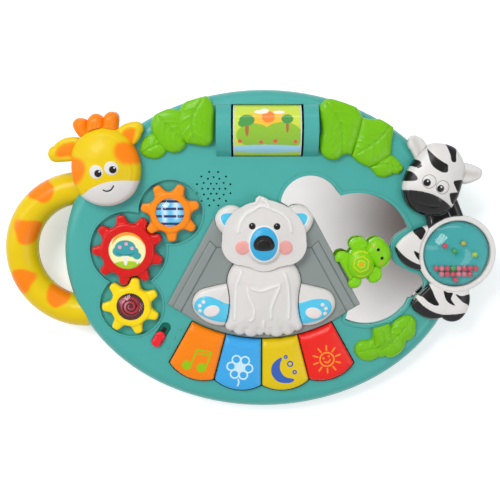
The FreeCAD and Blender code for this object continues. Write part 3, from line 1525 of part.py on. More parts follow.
def giraffe_mane():
    """Three overlapping tufts between the ears."""
    tufts = []
    for x, y, radius, top in MANE_TUFTS:
        tuft = crowned(disc_outline(radius), 0, top - MANE_DOME, top, 0)
        tufts.append(placed(tuft, (GIRAFFE[0] + x, GIRAFFE[1] + y)))
    root = prism(path((-22, 22), (-20, 36), (8, 38), (12, 26), origin=GIRAFFE), 0, MANE_ROOT_TOP)
    mane = merged(*tufts, root)
    cuts = [prism(giraffe_skull(), -1, 40)]
    cuts += [prism(ear, -1, 40) for ear in giraffe_ears()]
    return mane.cut(cuts)


def handle_half(front):
    tube = handle_ring(HANDLE_TUBE_RADIUS)
    inside = handle_ring(HANDLE_TUBE_RADIUS - HANDLE_WALL, -2.0)
    reach = HANDLE_RING_RADIUS + HANDLE_TUBE_RADIUS + 5
    depth = 2 * HANDLE_TUBE_RADIUS
    low = -PARTING_DEPTH if front else -PARTING_DEPTH - depth
    half = block(
        (HANDLE_X - reach, HANDLE_X + reach), (HANDLE_Y - reach, HANDLE_Y + reach), (low, low + depth)
    )
    return tube.cut(inside).common(half)


# Zebra

def zebra_muzzle_region():
    outline = path(
        (-60, 55.8), (-50.2, 55.8), ((-29, 53.8), (-9, 41.8)), (8, 30), (8, 20), (-60, 20), origin=ZEBRA
    )
    return prism(outline, -1, 40)


def zebra_head():
    skull = crowned(zebra_skull(), 0, ZEBRA_RIM, ZEBRA_TOP, FIGURE_ROUNDING)
    ears = [crowned(ear, 0, ZEBRA_EAR_RIM, ZEBRA_EAR_TOP, EAR_ROUNDING) for ear in zebra_ears()]
    head = merged(skull, *ears).cut(zebra_muzzle_region())
    return pegged(head, ZEBRA_HEAD_PEGS)


def zebra_muzzle():
    rim = ZEBRA_RIM + MUZZLE_RIM_STEP
    whole = crowned(zebra_skull(), 0, rim, ZEBRA_TOP + MUZZLE_TOP_STEP, FIGURE_ROUNDING)
    return whole.common(zebra_muzzle_region())


def zebra_neck():
    neck = prism(zebra_neck_outline(), 0, ZEBRA_NECK_TOP)
    return neck.cut([prism(zebra_skull(), -1, 40), disc(ZEBRA, RING_OUTER, -1, 40)])


def zebra_ring():
    ring = disc(ZEBRA, RING_OUTER, 0, RING_TOP).cut(disc(ZEBRA, RING_INNER, -1, RING_TOP + 1))
    edges = [edge for edge in ring.Edges if edge.BoundBox.ZMin > RING_TOP - 0.1]
    return ring.makeFillet(RING_ROUNDING, edges)


def zebra_hoof_regions():
    arm = path((-53.9, 7.4), ((-44.9, -2.5), (-31, -9.6)), (-31, -25), (-70, -25), (-70, 7.4), origin=ZEBRA)
    legs = path(
        (-36.5, -35.6), ((-24.3, -48.5), (-9.5, -54)), ((-0.4, -53.4), (14, -52)), (14, -75), (-50, -75),
        (-50, -35.6), origin=ZEBRA,
    )
    return prism(arm, -1, 40), prism(legs, -1, 40)


def zebra_limb_solids():
    ring = disc(ZEBRA, RING_OUTER, -1, 40)
    neck = prism(zebra_neck_outline(), -1, 40)
    arm = crowned(zebra_arm(), PEDESTAL_TOP, ZEBRA_ARM_RIM, ZEBRA_LIMB_TOP, 0).cut([ring, neck])
    legs = crowned(zebra_legs(), 0, ZEBRA_LEG_RIM, ZEBRA_LIMB_TOP, 0).cut(ring)
    return arm, legs


def zebra_limbs():
    arm, legs = zebra_limb_solids()
    arm_hoof, leg_hoof = zebra_hoof_regions()
    return Part.makeCompound([
        pegged(arm.cut(arm_hoof), ZEBRA_LIMB_PEGS[:1], PEDESTAL_TOP),
        pegged(legs.cut(leg_hoof), ZEBRA_LIMB_PEGS[1:]),
    ])


def zebra_hooves():
    arm, legs = zebra_limb_solids()
    arm_hoof, leg_hoof = zebra_hoof_regions()
    return Part.makeCompound([arm.common(arm_hoof), legs.common(leg_hoof)])


def dome_cap(radius, top, low):
    """A domed cup: straight sides up to the skirt's top, then a shallow cap."""
    rise = top - DOME_SKIRT_TOP
    full_rise = DOME_TOP - DOME_SKIRT_TOP
    cap_radius = (DOME_RADIUS ** 2 + full_rise ** 2) / (2 * full_rise)
    inner = cap_radius - (DOME_RADIUS - radius)
    sphere = ball(point(ZEBRA[0], ZEBRA[1], DOME_TOP - cap_radius), inner)
    return disc(ZEBRA, radius, low, DOME_SKIRT_TOP + rise + PAST).common(sphere)


def bead_dome():
    low = SPINNER_LIFT + SPINNER_BASE
    outer = dome_cap(DOME_RADIUS, DOME_TOP, low)
    return outer.cut(dome_cap(DOME_RADIUS - DOME_WALL, DOME_TOP - DOME_WALL, low - 1))


def bead_base():
    top = SPINNER_LIFT + SPINNER_BASE
    plate = disc(ZEBRA, DOME_RADIUS, SPINNER_LIFT, top)
    spindle = disc(ZEBRA, SPINDLE_RADIUS, -WALL - SPINNER_LIFT, SPINNER_LIFT + 0.5)
    bore = disc(ZEBRA, SCREW_RADIUS + SCREW_HOLE_GAP, -WALL - 1, top - 0.8)
    return merged(plate, spindle).cut(bore)


def bead_retainer():
    """The washer and screw that hold the spinner from inside."""
    top = -WALL - SPINNER_LIFT
    washer = disc(ZEBRA, RETAINER_RADIUS, top - RETAINER_THICKNESS, top)
    shank = disc(ZEBRA, SCREW_RADIUS, top, top + 4.0)
    return merged(washer, shank)


def beads():
    """Loose beads: a few apart, the rest piled at the low side."""
    level = SPINNER_LIFT + SPINNER_BASE + BEAD_RADIUS + BEAD_LIFT
    reach = DOME_RADIUS - DOME_WALL - BEAD_RADIUS - BEAD_EDGE_GAP
    spots = list(LOOSE_BEADS)
    rows = int((BEAD_PILE_LEVEL + reach) / BEAD_ROW_PITCH) + 1
    for row in range(rows):
        y = -reach + row * BEAD_ROW_PITCH
        half = math.sqrt(reach * reach - y * y)
        count = int(2 * half / BEAD_PITCH) + 1
        start = -(count - 1) * BEAD_PITCH / 2
        spots += [(start + index * BEAD_PITCH, y) for index in range(count)]
    balls = [Part.makeSphere(BEAD_RADIUS, point(ZEBRA[0] + x, ZEBRA[1] + y, level)) for x, y in spots]
    return Part.makeCompound(balls)


# Leaves

def leaf_cluster(leaves, pegs):
    """Overlapping leaves of different heights that follow the board's shoulder."""
    envelope = front_envelope()
    limit = prism(oval(RUNNING_GAP), -PARTING_DEPTH, 30)
    solids = [crowned(outline, -SHOULDER_RADIUS, top - LEAF_DOME, top, 0) for outline, top in leaves]
    lip = prism(grown(mirror_outline(), MIRROR_LIP_WIDTH + SEAT_GAP), -1, 30)
    return pegged(merged(*solids).common(limit).cut([envelope, lip]), pegs)


def leaves_left():
    small = path(
        (-106, 90), ((-102, 101), (-92, 106)), (-82, 94), ((-88, 84.8), (-97, 83.9)),
        ((-103, 86), (-106, 90)),
    )
    middle = path(
        (-91, 122.8), ((-96, 112), (-92, 101)), ((-88.5, 95), (-83.8, 91)), ((-75, 88.8), (-66, 96)),
        (-66, 122), ((-80, 126), (-91, 122.8)),
    )
    large = path(
        (-72, 122.3), ((-68.5, 129.5), (-60.2, 134)), ((-53, 137), (-47.1, 136)),
        ((-43, 129), (-41.6, 122)), (-42.5, 100), ((-46.5, 95.5), (-52, 94.5)),
        ((-58, 95.6), (-65, 96.5)), ((-73.5, 108), (-72, 122.3)),
    )
    return leaf_cluster(zip((small, middle, large), LEAF_TOPS), LEAF_LEFT_PEGS)


def leaves_right():
    large = path(
        (47.6, 124.5), ((49.5, 131), (54.8, 134.3)), ((65.6, 133.5), (78.6, 128)), (84.5, 119),
        ((81, 103), (75.3, 86.8)), ((70, 87.5), (65, 84.2)), ((57, 83), (49.9, 88.3)),
        ((47.8, 95), (49.3, 106)), (49.3, 110.3),
    )
    middle = path(
        (83, 119.4), ((92, 117.4), (100.4, 117.7)), ((108.5, 114), (111.2, 109.3)),
        ((110.2, 98), (109.5, 87)), ((101, 80.5), (91.2, 76.4)), ((83, 80), (75.3, 86.8)),
    )
    small = path(
        (108, 88), ((116, 83), (121, 76)), ((118, 71.5), (111.6, 70.7)), ((103, 67.6), (97.6, 69.2)),
        (91.2, 76.4), (100, 84),
    )
    return leaf_cluster(zip((small, middle, large), LEAF_TOPS), LEAF_RIGHT_PEGS)


def leaves_lower():
    tall = path(
        (98, -72), ((99, -65), (102.5, -61.6)), ((108, -60), (113.9, -64.4)), (118, -80), (100, -84),
    )
    wide = path(
        (113.9, -64.4), ((120, -57.5), (129.5, -53.9)), ((134, -56), (136, -65)),
        ((135.5, -72), (128, -77.9)), ((124, -87.8), (111.6, -93.5)), (100, -84),
    )
    low = path(
        (82.7, -89.3), ((84.5, -80), (92.9, -77.5)), ((97.5, -75), (98.2, -71.8)), (112, -82),
        ((111.5, -91), (103.8, -93)), ((95, -97), (82.7, -89.3)),
    )
    return leaf_cluster(zip((low, wide, tall), LEAF_TOPS), LEAF_LOWER_PEGS)


# Mirror, turtle and switch

def mirror():
    return prism(mirror_outline(), MIRROR_FLOOR, MIRROR_TOP)


def turtle():
    shell = ellipsoid((TURTLE[0], TURTLE[1], TURTLE_BOTTOM), *TURTLE_SHELL_SEMI_AXES)
    shell = shell.common(disc(TURTLE, 2 * TURTLE_SHELL_SEMI_AXES[1], TURTLE_BOTTOM, 40))
    head = path(
        (2, 10), (6.2, 17), ((11.5, 21.8), (22.1, 17.5)), ((26.8, 8), (24.4, -0.9)), ((21, -4), (14, -4)),
        origin=TURTLE,
    )
    outlines = (
        path((-5, 10), ((-9.2, 18.3), (-3, 21.8)), ((3, 21.5), (6.7, 15)), (2, 8), origin=TURTLE),
        path((-10, 0.6), (-20.9, 0.6), ((-22, 6), (-17.9, 10)), ((-14, 10), (-10, 6)), origin=TURTLE),
        path((-4, -8), (-8.5, -15), ((-9.8, -20.5), (-4.5, -22.7)), ((0.6, -20), (1, -13)), origin=TURTLE),
        path((5, -8), (8.1, -17.3), ((15, -17.5), (19.4, -7.8)), ((18, -4.6), (12, -3)), origin=TURTLE),
    )
    limbs = [prism(outline, TURTLE_BOTTOM, TURTLE_LIMB_TOP) for outline in outlines]
    skull = crowned(head, TURTLE_BOTTOM, TURTLE_SKULL_RIM, TURTLE_SKULL_TOP, 0)
    over_panel = rail_block(
        (-40, 40), (rail_distance() - RUNNING_GAP, 40), (-1, PANEL_THICKNESS + RUNNING_GAP)
    )
    return merged(shell, skull, *limbs).cut(over_panel)


def turtle_carriage():
    """The slider plate: over the mirror, then under the panel with a rib in the groove."""
    half = CARRIAGE_LENGTH / 2
    reach = rail_distance() + CARRIAGE_REACH
    rib_v = reach - CARRIAGE_RIB_INSET
    plate = rail_block((-half, half), (-CARRIAGE_TAIL, reach), (CARRIAGE_BOTTOM, CARRIAGE_TOP))
    rib = rail_block(
        (-half, half), (rib_v - CARRIAGE_RIB_WIDTH / 2, rib_v + CARRIAGE_RIB_WIDTH / 2),
        (MIRROR_TOP - CARRIAGE_RIB_HEIGHT, CARRIAGE_BOTTOM + 0.5),
    )
    stalk = disc(TURTLE, TURTLE_STALK_RADIUS, CARRIAGE_TOP - 0.5, TURTLE_BOTTOM)
    return merged(plate, rib, stalk)


def switch_plate():
    plate = prism(
        stadium(SWITCH_SLOT_LENGTH - 2 * SEAT_GAP, SWITCH_SLOT_WIDTH - 2 * SEAT_GAP),
        -SWITCH_SLOT_DEPTH, SWITCH_PLATE_THICKNESS - SWITCH_SLOT_DEPTH,
    )
    return placed(plate.cut(switch_stem_slot(-5, 5)), SWITCH, SWITCH_DIRECTION)


def switch_knob():
    """A pill-shaped thumb piece that rests at the lower end of its slot."""
    outline = stadium(SWITCH_KNOB_LENGTH, SWITCH_SLOT_WIDTH - 2 * POCKET_GAP)
    low = SWITCH_PLATE_THICKNESS - SWITCH_SLOT_DEPTH + SWITCH_KNOB_LIFT
    rim = SWITCH_KNOB_TOP - SWITCH_KNOB_ROUNDING
    pill = crowned(outline, low, rim, SWITCH_KNOB_TOP, SWITCH_KNOB_ROUNDING)
    stem = block(
        (-SWITCH_STEM_LENGTH / 2, SWITCH_STEM_LENGTH / 2), (-SWITCH_STEM_WIDTH / 2, SWITCH_STEM_WIDTH / 2),
        (SWITCH_STEM_BOTTOM, low + 0.5),
    )
    knob = merged(pill, stem)
    knob.translate(point(-SWITCH_TRAVEL / 2, 0))
    return placed(knob, SWITCH, SWITCH_DIRECTION)


def switch_body():
    top = -WALL - 1
    box = block(
        (-SWITCH_BODY_LENGTH / 2, SWITCH_BODY_LENGTH / 2), (-SWITCH_BODY_WIDTH / 2, SWITCH_BODY_WIDTH / 2),
        (top - SWITCH_BODY_HEIGHT, top),
    )
    return placed(box.cut(switch_stem_slot(-WALL - 5, 5)), SWITCH, SWITCH_DIRECTION)


NODES = {
    "front_shell": front_shell,
    "back_shell": back_shell,
    "battery_door": battery_door,
    "battery_door_screw": battery_door_screw,
    "housing_screws": housing_screws,
    "inner_screws": inner_screws,
    "rubber_feet": rubber_feet,
    "batteries": batteries,
    "battery_contacts": battery_contacts,
    "circuit_board": circuit_board,
    "contact_pads": contact_pads,
    "leds": leds,
    "speaker": speaker,
    "speaker_clamp": speaker_clamp,
    "mirror": mirror,
    "rock_panel": rock_panel,
    "bear_head": bear_head,
    "bear_nose": bear_nose,
    "bear_legs": bear_legs,
    "bear_body": bear_body,
    "bear_plunger": bear_plunger,
    "giraffe_head": giraffe_head,
    "giraffe_mane": giraffe_mane,
    "giraffe_muzzle": giraffe_muzzle,
    "handle_front": lambda: handle_half(True),
    "handle_back": lambda: handle_half(False),
    "zebra_head": zebra_head,
    "zebra_muzzle": zebra_muzzle,
    "zebra_neck": zebra_neck,
    "zebra_limbs": zebra_limbs,
    "zebra_hooves": zebra_hooves,
    "zebra_ring": zebra_ring,
    "bead_dome": bead_dome,
    "bead_base": bead_base,
    "bead_retainer": bead_retainer,
    "beads": beads,
    "leaves_left": leaves_left,
    "leaves_right": leaves_right,
    "leaves_lower": leaves_lower,
    "gear_red": lambda: gear("red"),
    "gear_orange": lambda: gear("orange"),
    "gear_yellow": lambda: gear("yellow"),
    "gear_red_disc": gear_red_disc,
    "gear_orange_lens": lambda: gear_lens("orange"),
    "gear_yellow_lens": lambda: gear_lens("yellow"),
    "gear_screws": gear_screws,
    "roller_drum": roller_drum,
    "roller_sleeve": roller_sleeve,
    "roller_brackets": roller_brackets,
    "key_1": lambda: key(0),
    "key_2": lambda: key(1),
    "key_3": lambda: key(2),
    "key_4": lambda: key(3),
    "key_hinge_pins": key_hinge_pins,
    "turtle": turtle,
    "turtle_carriage": turtle_carriage,
    "switch_plate": switch_plate,
    "switch_knob": switch_knob,
    "switch_body": switch_body,
}

for node_name, make_node in NODES.items():
    keep(node_name, make_node())
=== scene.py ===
import math
import random

import bpy
import numpy as np
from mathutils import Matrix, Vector, geometry


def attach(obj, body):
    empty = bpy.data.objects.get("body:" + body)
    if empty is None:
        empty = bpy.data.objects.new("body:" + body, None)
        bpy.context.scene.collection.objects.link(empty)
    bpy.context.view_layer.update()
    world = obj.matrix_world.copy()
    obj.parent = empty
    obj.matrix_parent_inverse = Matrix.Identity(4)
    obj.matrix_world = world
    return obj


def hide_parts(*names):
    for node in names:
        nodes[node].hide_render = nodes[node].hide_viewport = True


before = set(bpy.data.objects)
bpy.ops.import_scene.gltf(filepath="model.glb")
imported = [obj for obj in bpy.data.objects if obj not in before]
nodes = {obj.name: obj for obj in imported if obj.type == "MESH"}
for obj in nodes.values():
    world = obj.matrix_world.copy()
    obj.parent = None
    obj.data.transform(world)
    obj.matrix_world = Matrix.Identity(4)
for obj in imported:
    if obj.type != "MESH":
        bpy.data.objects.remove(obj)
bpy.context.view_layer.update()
random.seed(11)

# Outlines and places are in the face frame, in millimetres: x to the right and y up the
# board, and z = 0 on its flat top. to_row() gives metres in the frame of the object.
TILT = math.radians(9.0)
FACE_ORIGIN = np.array((14.15, -2.3465, 47.0))
FACE_AXES = np.array((
    (1.0, 0.0, 0.0),
    (0.0, math.cos(TILT), math.sin(TILT)),
    (0.0, -math.sin(TILT), math.cos(TILT)),
))

# Spacing of the points along an outline, the insets of the rings of points that follow
# it, how many of its points are measured at a time, and the least share of its move at
# which a point of a moved outline is kept
STEP = 0.9
INSETS = (0.25, 0.7, 1.3, 2.1, 3.1)
CHUNK = 64
FOLD_SHARE = 0.97

# Value of a mask at a point far outside it, and the masks that each material reads
FAR = -50.0
LAYERS_OF = {}

# Middles of the figures, and half the length and width of the board
GIRAFFE = (-135.0, 76.0)
BEAR = (0.8, 0.0)
ZEBRA = (169.0, 1.4)
TURTLE = (85.0, -6.5)
BOARD_HALF = (176.0, 142.0)


def to_row(points):
    return (np.asarray(points, float) @ FACE_AXES + FACE_ORIGIN) / 1000.0


# Outlines

def arc_points(start, middle, end):
    """Points after start, up to end, on the circle through all three."""
    (ax, ay), (mx, my), (bx, by) = start, middle, end
    twice = 2 * (ax * (my - by) + mx * (by - ay) + bx * (ay - my))
    a2 = ax * ax + ay * ay
    m2 = mx * mx + my * my
    b2 = bx * bx + by * by
    ux = (a2 * (my - by) + m2 * (by - ay) + b2 * (ay - my)) / twice
    uy = (a2 * (bx - mx) + m2 * (ax - bx) + b2 * (mx - ax)) / twice
    radius = math.hypot(ax - ux, ay - uy)
    first = math.atan2(ay - uy, ax - ux)
    sweep = (math.atan2(by - uy, bx - ux) - first) % math.tau
    if (math.atan2(my - uy, mx - ux) - first) % math.tau > sweep:
        sweep -= math.tau
    count = max(2, math.ceil(abs(sweep) * radius / STEP))
    turns = [first + sweep * step / count for step in range(1, count + 1)]
    return [(ux + radius * math.cos(turn), uy + radius * math.sin(turn)) for turn in turns]


def line_points(start, end):
    count = max(1, math.ceil(math.dist(start, end) / STEP))
    return [
        (start[0] + (end[0] - start[0]) * k / count, start[1] + (end[1] - start[1]) * k / count)
        for k in range(1, count + 1)
    ]


def wire(start, *steps, origin=(0.0, 0.0)):
    """Open line of straight steps (x, y) and arc steps ((through), (end))."""
    points = [start]
    for step in steps:
        if isinstance(step[0], tuple):
            points += arc_points(points[-1], step[0], step[1])
        else:
            points += line_points(points[-1], step)
    return np.array(points) + np.array(origin)


def anticlockwise(points):
    x, y = points.T
    return points[::-1] if np.sum(x * np.roll(y, -1) - y * np.roll(x, -1)) < 0 else points


def path(start, *steps, origin=(0.0, 0.0)):
    """Closed outline, anticlockwise and without its last point twice."""
    points = wire(start, *steps)
    if math.dist(points[-1], points[0]) > 0.01:
        points = np.vstack((points, line_points(tuple(points[-1]), tuple(points[0]))))
    return anticlockwise(points[:-1]) + np.array(origin)


def smooth_path(*spots, origin=(0.0, 0.0), closed=True, step=STEP):
    """A curve without corners through the spots."""
    spots = np.array(spots, float)
    if not closed:
        spots = np.vstack((2 * spots[0] - spots[1], spots, 2 * spots[-1] - spots[-2]))
    points = []
    count = len(spots)
    for index in range(count if closed else count - 3):
        p0, p1, p2, p3 = (spots[(index + k) % count] for k in range(4))
        pieces = max(2, math.ceil(np.linalg.norm(p2 - p1) / step))
        for k in range(pieces):
            t = k / pieces
            points.append(
                0.5 * (2 * p1 + (p2 - p0) * t + (2 * p0 - 5 * p1 + 4 * p2 - p3) * t * t
                       + (3 * p1 - p0 - 3 * p2 + p3) * t ** 3)
            )
    if not closed:
        points.append(spots[-2])
    points = np.array(points) + np.array(origin)
    return anticlockwise(points) if closed else points


def curve(*spots):
    """An open line without corners through the spots."""
    return smooth_path(*spots, closed=False)


def closed_line(loop):
    """The outline as a line that ends where it starts."""
    return np.vstack((loop, loop[:1]))


def rotated(points, degrees):
    """The points turned about the origin."""
    turn = math.radians(degrees)
    x, y = np.asarray(points, float).T
    return np.column_stack((x * math.cos(turn) - y * math.sin(turn), x * math.sin(turn) + y * math.cos(turn)))


def polar(centre, radius, degrees):
    angle = math.radians(degrees)
    return (centre[0] + radius * math.cos(angle), centre[1] + radius * math.sin(angle))


def circle(centre, radius, radius_y=None):
    """Points round a circle or a level ellipse."""
    radius_y = radius if radius_y is None else radius_y
    count = max(24, math.ceil(math.tau * max(radius, radius_y) / STEP))
    angles = np.arange(count) * math.tau / count
    return np.array(centre) + np.column_stack((radius * np.cos(angles), radius_y * np.sin(angles)))


def mirrored(points):
    """The same points on the other side of the line up the board through the bear."""
    return np.column_stack((2 * BEAR[0] - points[:, 0], points[:, 1]))[::-1]


def grown(loop, distance):
    """The outline moved out, or in where distance is below zero, without its folds."""
    ahead = np.roll(loop, -1, 0) - np.roll(loop, 1, 0)
    ahead /= np.linalg.norm(ahead, axis=1)[:, None]
    moved = loop + distance * np.column_stack((ahead[:, 1], -ahead[:, 0]))
    apart = distance_to(moved, loop, closed=True)
    return moved[apart >= abs(distance) * FOLD_SHARE]


# Distances, in millimetres: fields are above zero inside what they describe

def distance_to(points, line, closed=False):
    """Distance from each point to a line of points."""
    starts = line if closed else line[:-1]
    along = (np.roll(line, -1, 0) if closed else line[1:]) - starts
    square = (along ** 2).sum(1) + 1e-12
    best = np.full(len(points), np.inf)
    for first in range(0, len(starts), CHUNK):
        begin = starts[first:first + CHUNK]
        way = along[first:first + CHUNK]
        gap = points[:, None, :] - begin[None]
        share = np.clip((gap * way[None]).sum(2) / square[None, first:first + CHUNK], 0, 1)
        near = np.linalg.norm(gap - share[..., None] * way[None], axis=2).min(1)
        best = np.minimum(best, near)
    return best


def is_inside(points, loop):
    x, y = points.T
    x1, y1 = loop.T
    x2, y2 = np.roll(loop, -1, 0).T
    count = np.zeros(len(points), int)
    for ax, ay, bx, by in zip(x1, y1, x2, y2):
        if ay != by:
            count += ((ay > y) != (by > y)) & (x < (bx - ax) * (y - ay) / (by - ay) + ax)
    return count % 2 == 1


def region(*loops):
    """Field of one or more closed outlines."""
    def field(points):
        best = np.full(len(points), FAR)
        for loop in loops:
            away = distance_to(points, loop, closed=True)
            best = np.maximum(best, np.where(is_inside(points, loop), away, -away))
        return best
    return field


def blobs(*outlines):
    """Field of one or more closed outlines without corners, each given by its spots."""
    return region(*[smooth_path(*outline) for outline in outlines])


def ellipses(*shapes):
    """Field of ellipses, each given as x, y, its two half-lengths and its turn in degrees."""
    def field(points):
        best = np.full(len(points), FAR)
        for x, y, rx, ry, turn in shapes:
            u, v = (rotated(points - np.array((x, y)), -turn) / (rx, ry)).T
            reach = np.hypot(u, v) + 1e-9
            scale = reach / np.hypot(u / rx, v / ry).clip(1e-9)
            best = np.maximum(best, (1 - reach) * scale)
        return best
    return field


def spots(*centres, radius):
    return ellipses(*[(x, y, radius, radius, 0.0) for x, y in centres])


def strokes(width, *lines):
    """Field of lines drawn with a round pen."""
    def field(points):
        best = np.full(len(points), FAR)
        for line in lines:
            best = np.maximum(best, width / 2 - distance_to(points, line))
        return best
    return field


def either(*fields):
    return lambda points: np.max([field(points) for field in fields], axis=0)


def without(field, *others):
    return lambda points: np.min([field(points)] + [-other(points) for other in others], axis=0)


def both(*fields):
    return lambda points: np.min([field(points) for field in fields], axis=0)


# Heights of a top: each is a function of the points and of their distance in from the edge

def flat(height):
    return lambda points, inset: np.full(len(points), float(height))


def rise(field, height, soft):
    """A step up of the height where the field is above zero, over the width soft."""
    def added(points, inset):
        share = np.clip(field(points) / soft + 0.5, 0, 1)
        return height * share * share * (3 - 2 * share)
    return added


def swell(field, height, width):
    """A round bump of the height that levels off at the width inside the field."""
    def added(points, inset):
        share = np.clip(field(points) / width, 0, 1)
        return height * np.sqrt(1 - (1 - share) ** 2)
    return added


def ridge(height, soft, *lines):
    """A soft ridge along lines."""
    def added(points, inset):
        away = np.min([distance_to(points, line) for line in lines], axis=0)
        return height * np.exp(-(away / soft) ** 2)
    return added


def groove(depth, soft, *lines):
    return ridge(-depth, soft, *lines)


def pillow(rim, top, rounding, width):
    """An edge rounded up to the rim, then a crown that levels off at the top and the width."""
    def height(points, inset):
        edge = np.clip(inset / rounding, 0, 1)
        crown = np.clip(inset / width, 0, 1)
        round_edge = rim - rounding + rounding * np.sqrt(1 - (1 - edge) ** 2)
        return round_edge + (top - rim) * (1 - (1 - crown) ** 2)
    return height


def mound(centre, half_x, half_y, low, high):
    """The upper half of an ellipsoid."""
    def height(points, inset):
        u, v = ((points - np.array(centre)) / (half_x, half_y)).T
        return low + (high - low) * np.sqrt(np.clip(1 - u * u - v * v, 0, 1))
    return height


def over(first, second, soft):
    """The higher of two surfaces, blended where they meet."""
    def height(points, inset):
        a = first(points, inset)
        b = second(points, inset)
        return 0.5 * (a + b + np.sqrt((a - b) ** 2 + soft * soft))
    return height


def total(*parts):
    return lambda points, inset: np.sum([part(points, inset) for part in parts], axis=0)


# Shapes: points in the face frame, faces, masks at the points, and a material

def shape(points, faces, material, masks=None):
    return {"points": np.asarray(points, float), "faces": faces, "material": material, "masks": masks or {}}


def rows_in(outline, lines, spacing):
    """Points in staggered rows inside an outline, clear of its rings and of the lines."""
    low_corner = outline.min(0)
    high_corner = outline.max(0)
    rows = np.arange(low_corner[1], high_corner[1], spacing * math.sqrt(3) / 2)
    grid = np.array([
        (x + (index % 2) * spacing / 2, y)
        for index, y in enumerate(rows)
        for x in np.arange(low_corner[0], high_corner[0], spacing)
    ])
    grid = grid[is_inside(grid, outline)]
    grid = grid[distance_to(grid, outline, closed=True) > INSETS[-1] + spacing / 2]
    for line in lines:
        grid = grid[distance_to(grid, line) > spacing / 2]
    return grid


def relief(outline, low, height, material, masks=None, within=(), cuts=(), lines=(), spacing=1.3):
    """A closed solid on an outline, with straight sides and the given height of its top.

    Only what lies in the loops of within and outside those of cuts is kept. The top has
    points along the lines.
    """
    loops = [outline, *within, *cuts]
    edges = []
    start = 0
    for loop in loops:
        edges += [(start + k, start + (k + 1) % len(loop)) for k in range(len(loop))]
        start += len(loop)
    points = loops + [grown(outline, -inset) for inset in INSETS] + [rows_in(outline, lines, spacing)]
    points += [line[is_inside(line, outline)] for line in lines]
    made = geometry.delaunay_2d_cdt([Vector(p) for p in np.vstack(points)], edges, [], 0, 1e-5)
    plan = np.array([tuple(p) for p in made[0]])
    triangles = np.array(made[2])
    centres = plan[triangles].mean(1)
    kept = is_inside(centres, outline)
    for loop in within:
        kept &= is_inside(centres, loop)
    for loop in cuts:
        kept &= ~is_inside(centres, loop)
    triangles = triangles[kept]
    used, places = np.unique(triangles, return_inverse=True)
    plan = plan[used]
    triangles = places.reshape(-1, 3)
    inset = np.where(is_inside(plan, outline), distance_to(plan, outline, closed=True), 0.0)
    count = len(plan)
    sides = dict.fromkeys(pair for a, b, c in triangles for pair in ((a, b), (b, c), (c, a)))
    rim = [pair for pair in sides if (pair[1], pair[0]) not in sides]
    top = np.column_stack((plan, height(plan, inset)))
    bottom = np.column_stack((plan, np.full(count, float(low))))
    faces = [tuple(t) for t in triangles]
    faces += [(c + count, b + count, a + count) for a, b, c in triangles]
    faces += [(b, a, a + count, b + count) for a, b in rim]
    values = {name: np.tile(field(plan), 2) for name, field in (masks or {}).items()}
    return shape(np.vstack((top, bottom)), faces, material, values)


def rings_about(centre, profile, segments):
    """A ring of points about an axis out of the board for each (radius, z)."""
    angles = np.arange(segments) * math.tau / segments
    return [(centre[0] + radius * math.cos(a), centre[1] + radius * math.sin(a), z)
            for radius, z in profile for a in angles]


def turned(centre, profile, material, segments):
    """A ring-shaped solid of revolution, from closed (radius, z) points."""
    faces = []
    count = len(profile)
    for ring in range(count):
        after = (ring + 1) % count
        for k in range(segments):
            nxt = (k + 1) % segments
            faces.append((ring * segments + k, ring * segments + nxt, after * segments + nxt,
                          after * segments + k))
    return shape(rings_about(centre, profile, segments), faces, material)


def capped(centre, top, profile, low, material, segments):
    """A solid of revolution from its top point, its (radius, z) rings and its lowest point."""
    points = [(*centre, top), *rings_about(centre, profile, segments), (*centre, low)]
    faces = [(0, 1 + k, 1 + (k + 1) % segments) for k in range(segments)]
    for ring in range(len(profile) - 1):
        first = 1 + ring * segments
        for k in range(segments):
            nxt = (k + 1) % segments
            faces.append((first + k, first + segments + k, first + segments + nxt, first + nxt))
    last = 1 + (len(profile) - 1) * segments
    faces += [(len(points) - 1, last + (k + 1) % segments, last + k) for k in range(segments)]
    return shape(points, faces, material)


def domed(centre, radius, low, rim, top, material, rings=14, segments=96):
    """A closed button: a flat base, straight sides and a spherical top."""
    height = top - rim
    ball = (radius * radius + height * height) / (2 * height)
    sweep = math.asin(min(1.0, radius / ball))
    profile = [(ball * math.sin(sweep * k / rings), top - ball + ball * math.cos(sweep * k / rings))
               for k in range(1, rings + 1)]
    return capped(centre, top, profile + [(radius, low)], low, material, segments)


def piece(name, body, replaced, slot, *shapes):
    """One object of one or more shapes, which rides on a body and stands for CAD nodes."""
    mesh = bpy.data.meshes.new(name)
    offset = 0
    points = []
    faces = []
    material_of = []
    used = []
    for part in shapes:
        if part["material"] not in used:
            used.append(part["material"])
        points.append(part["points"])
        faces += [tuple(int(k) + offset for k in face) for face in part["faces"]]
        material_of += [used.index(part["material"])] * len(part["faces"])
        offset += len(part["points"])
    mesh.from_pydata([tuple(p) for p in to_row(np.vstack(points))], [], faces)
    for material in used:
        mesh.materials.append(material)
    mesh.polygons.foreach_set("material_index", material_of)
    mesh.polygons.foreach_set("use_smooth", [True] * len(faces))
    for mask in sorted({mask for material in used for mask in LAYERS_OF.get(material.name, ())}):
        values = np.concatenate([
            part["masks"].get(mask, np.full(len(part["points"]), FAR)) for part in shapes
        ])
        attribute = mesh.attributes.new(mask, "FLOAT", "POINT")
        attribute.data.foreach_set("value", values.astype(np.float32))
    mesh.update()
    made = bpy.data.objects.new(name, mesh)
    bpy.context.scene.collection.objects.link(made)
    if replaced:
        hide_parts(*replaced)
    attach(made, body)


# Materials

PURE_WHITE = (1.0, 1.0, 1.0, 1.0)
BALL_DRIFT = 0.012
EDGE_WEAR = 0.125


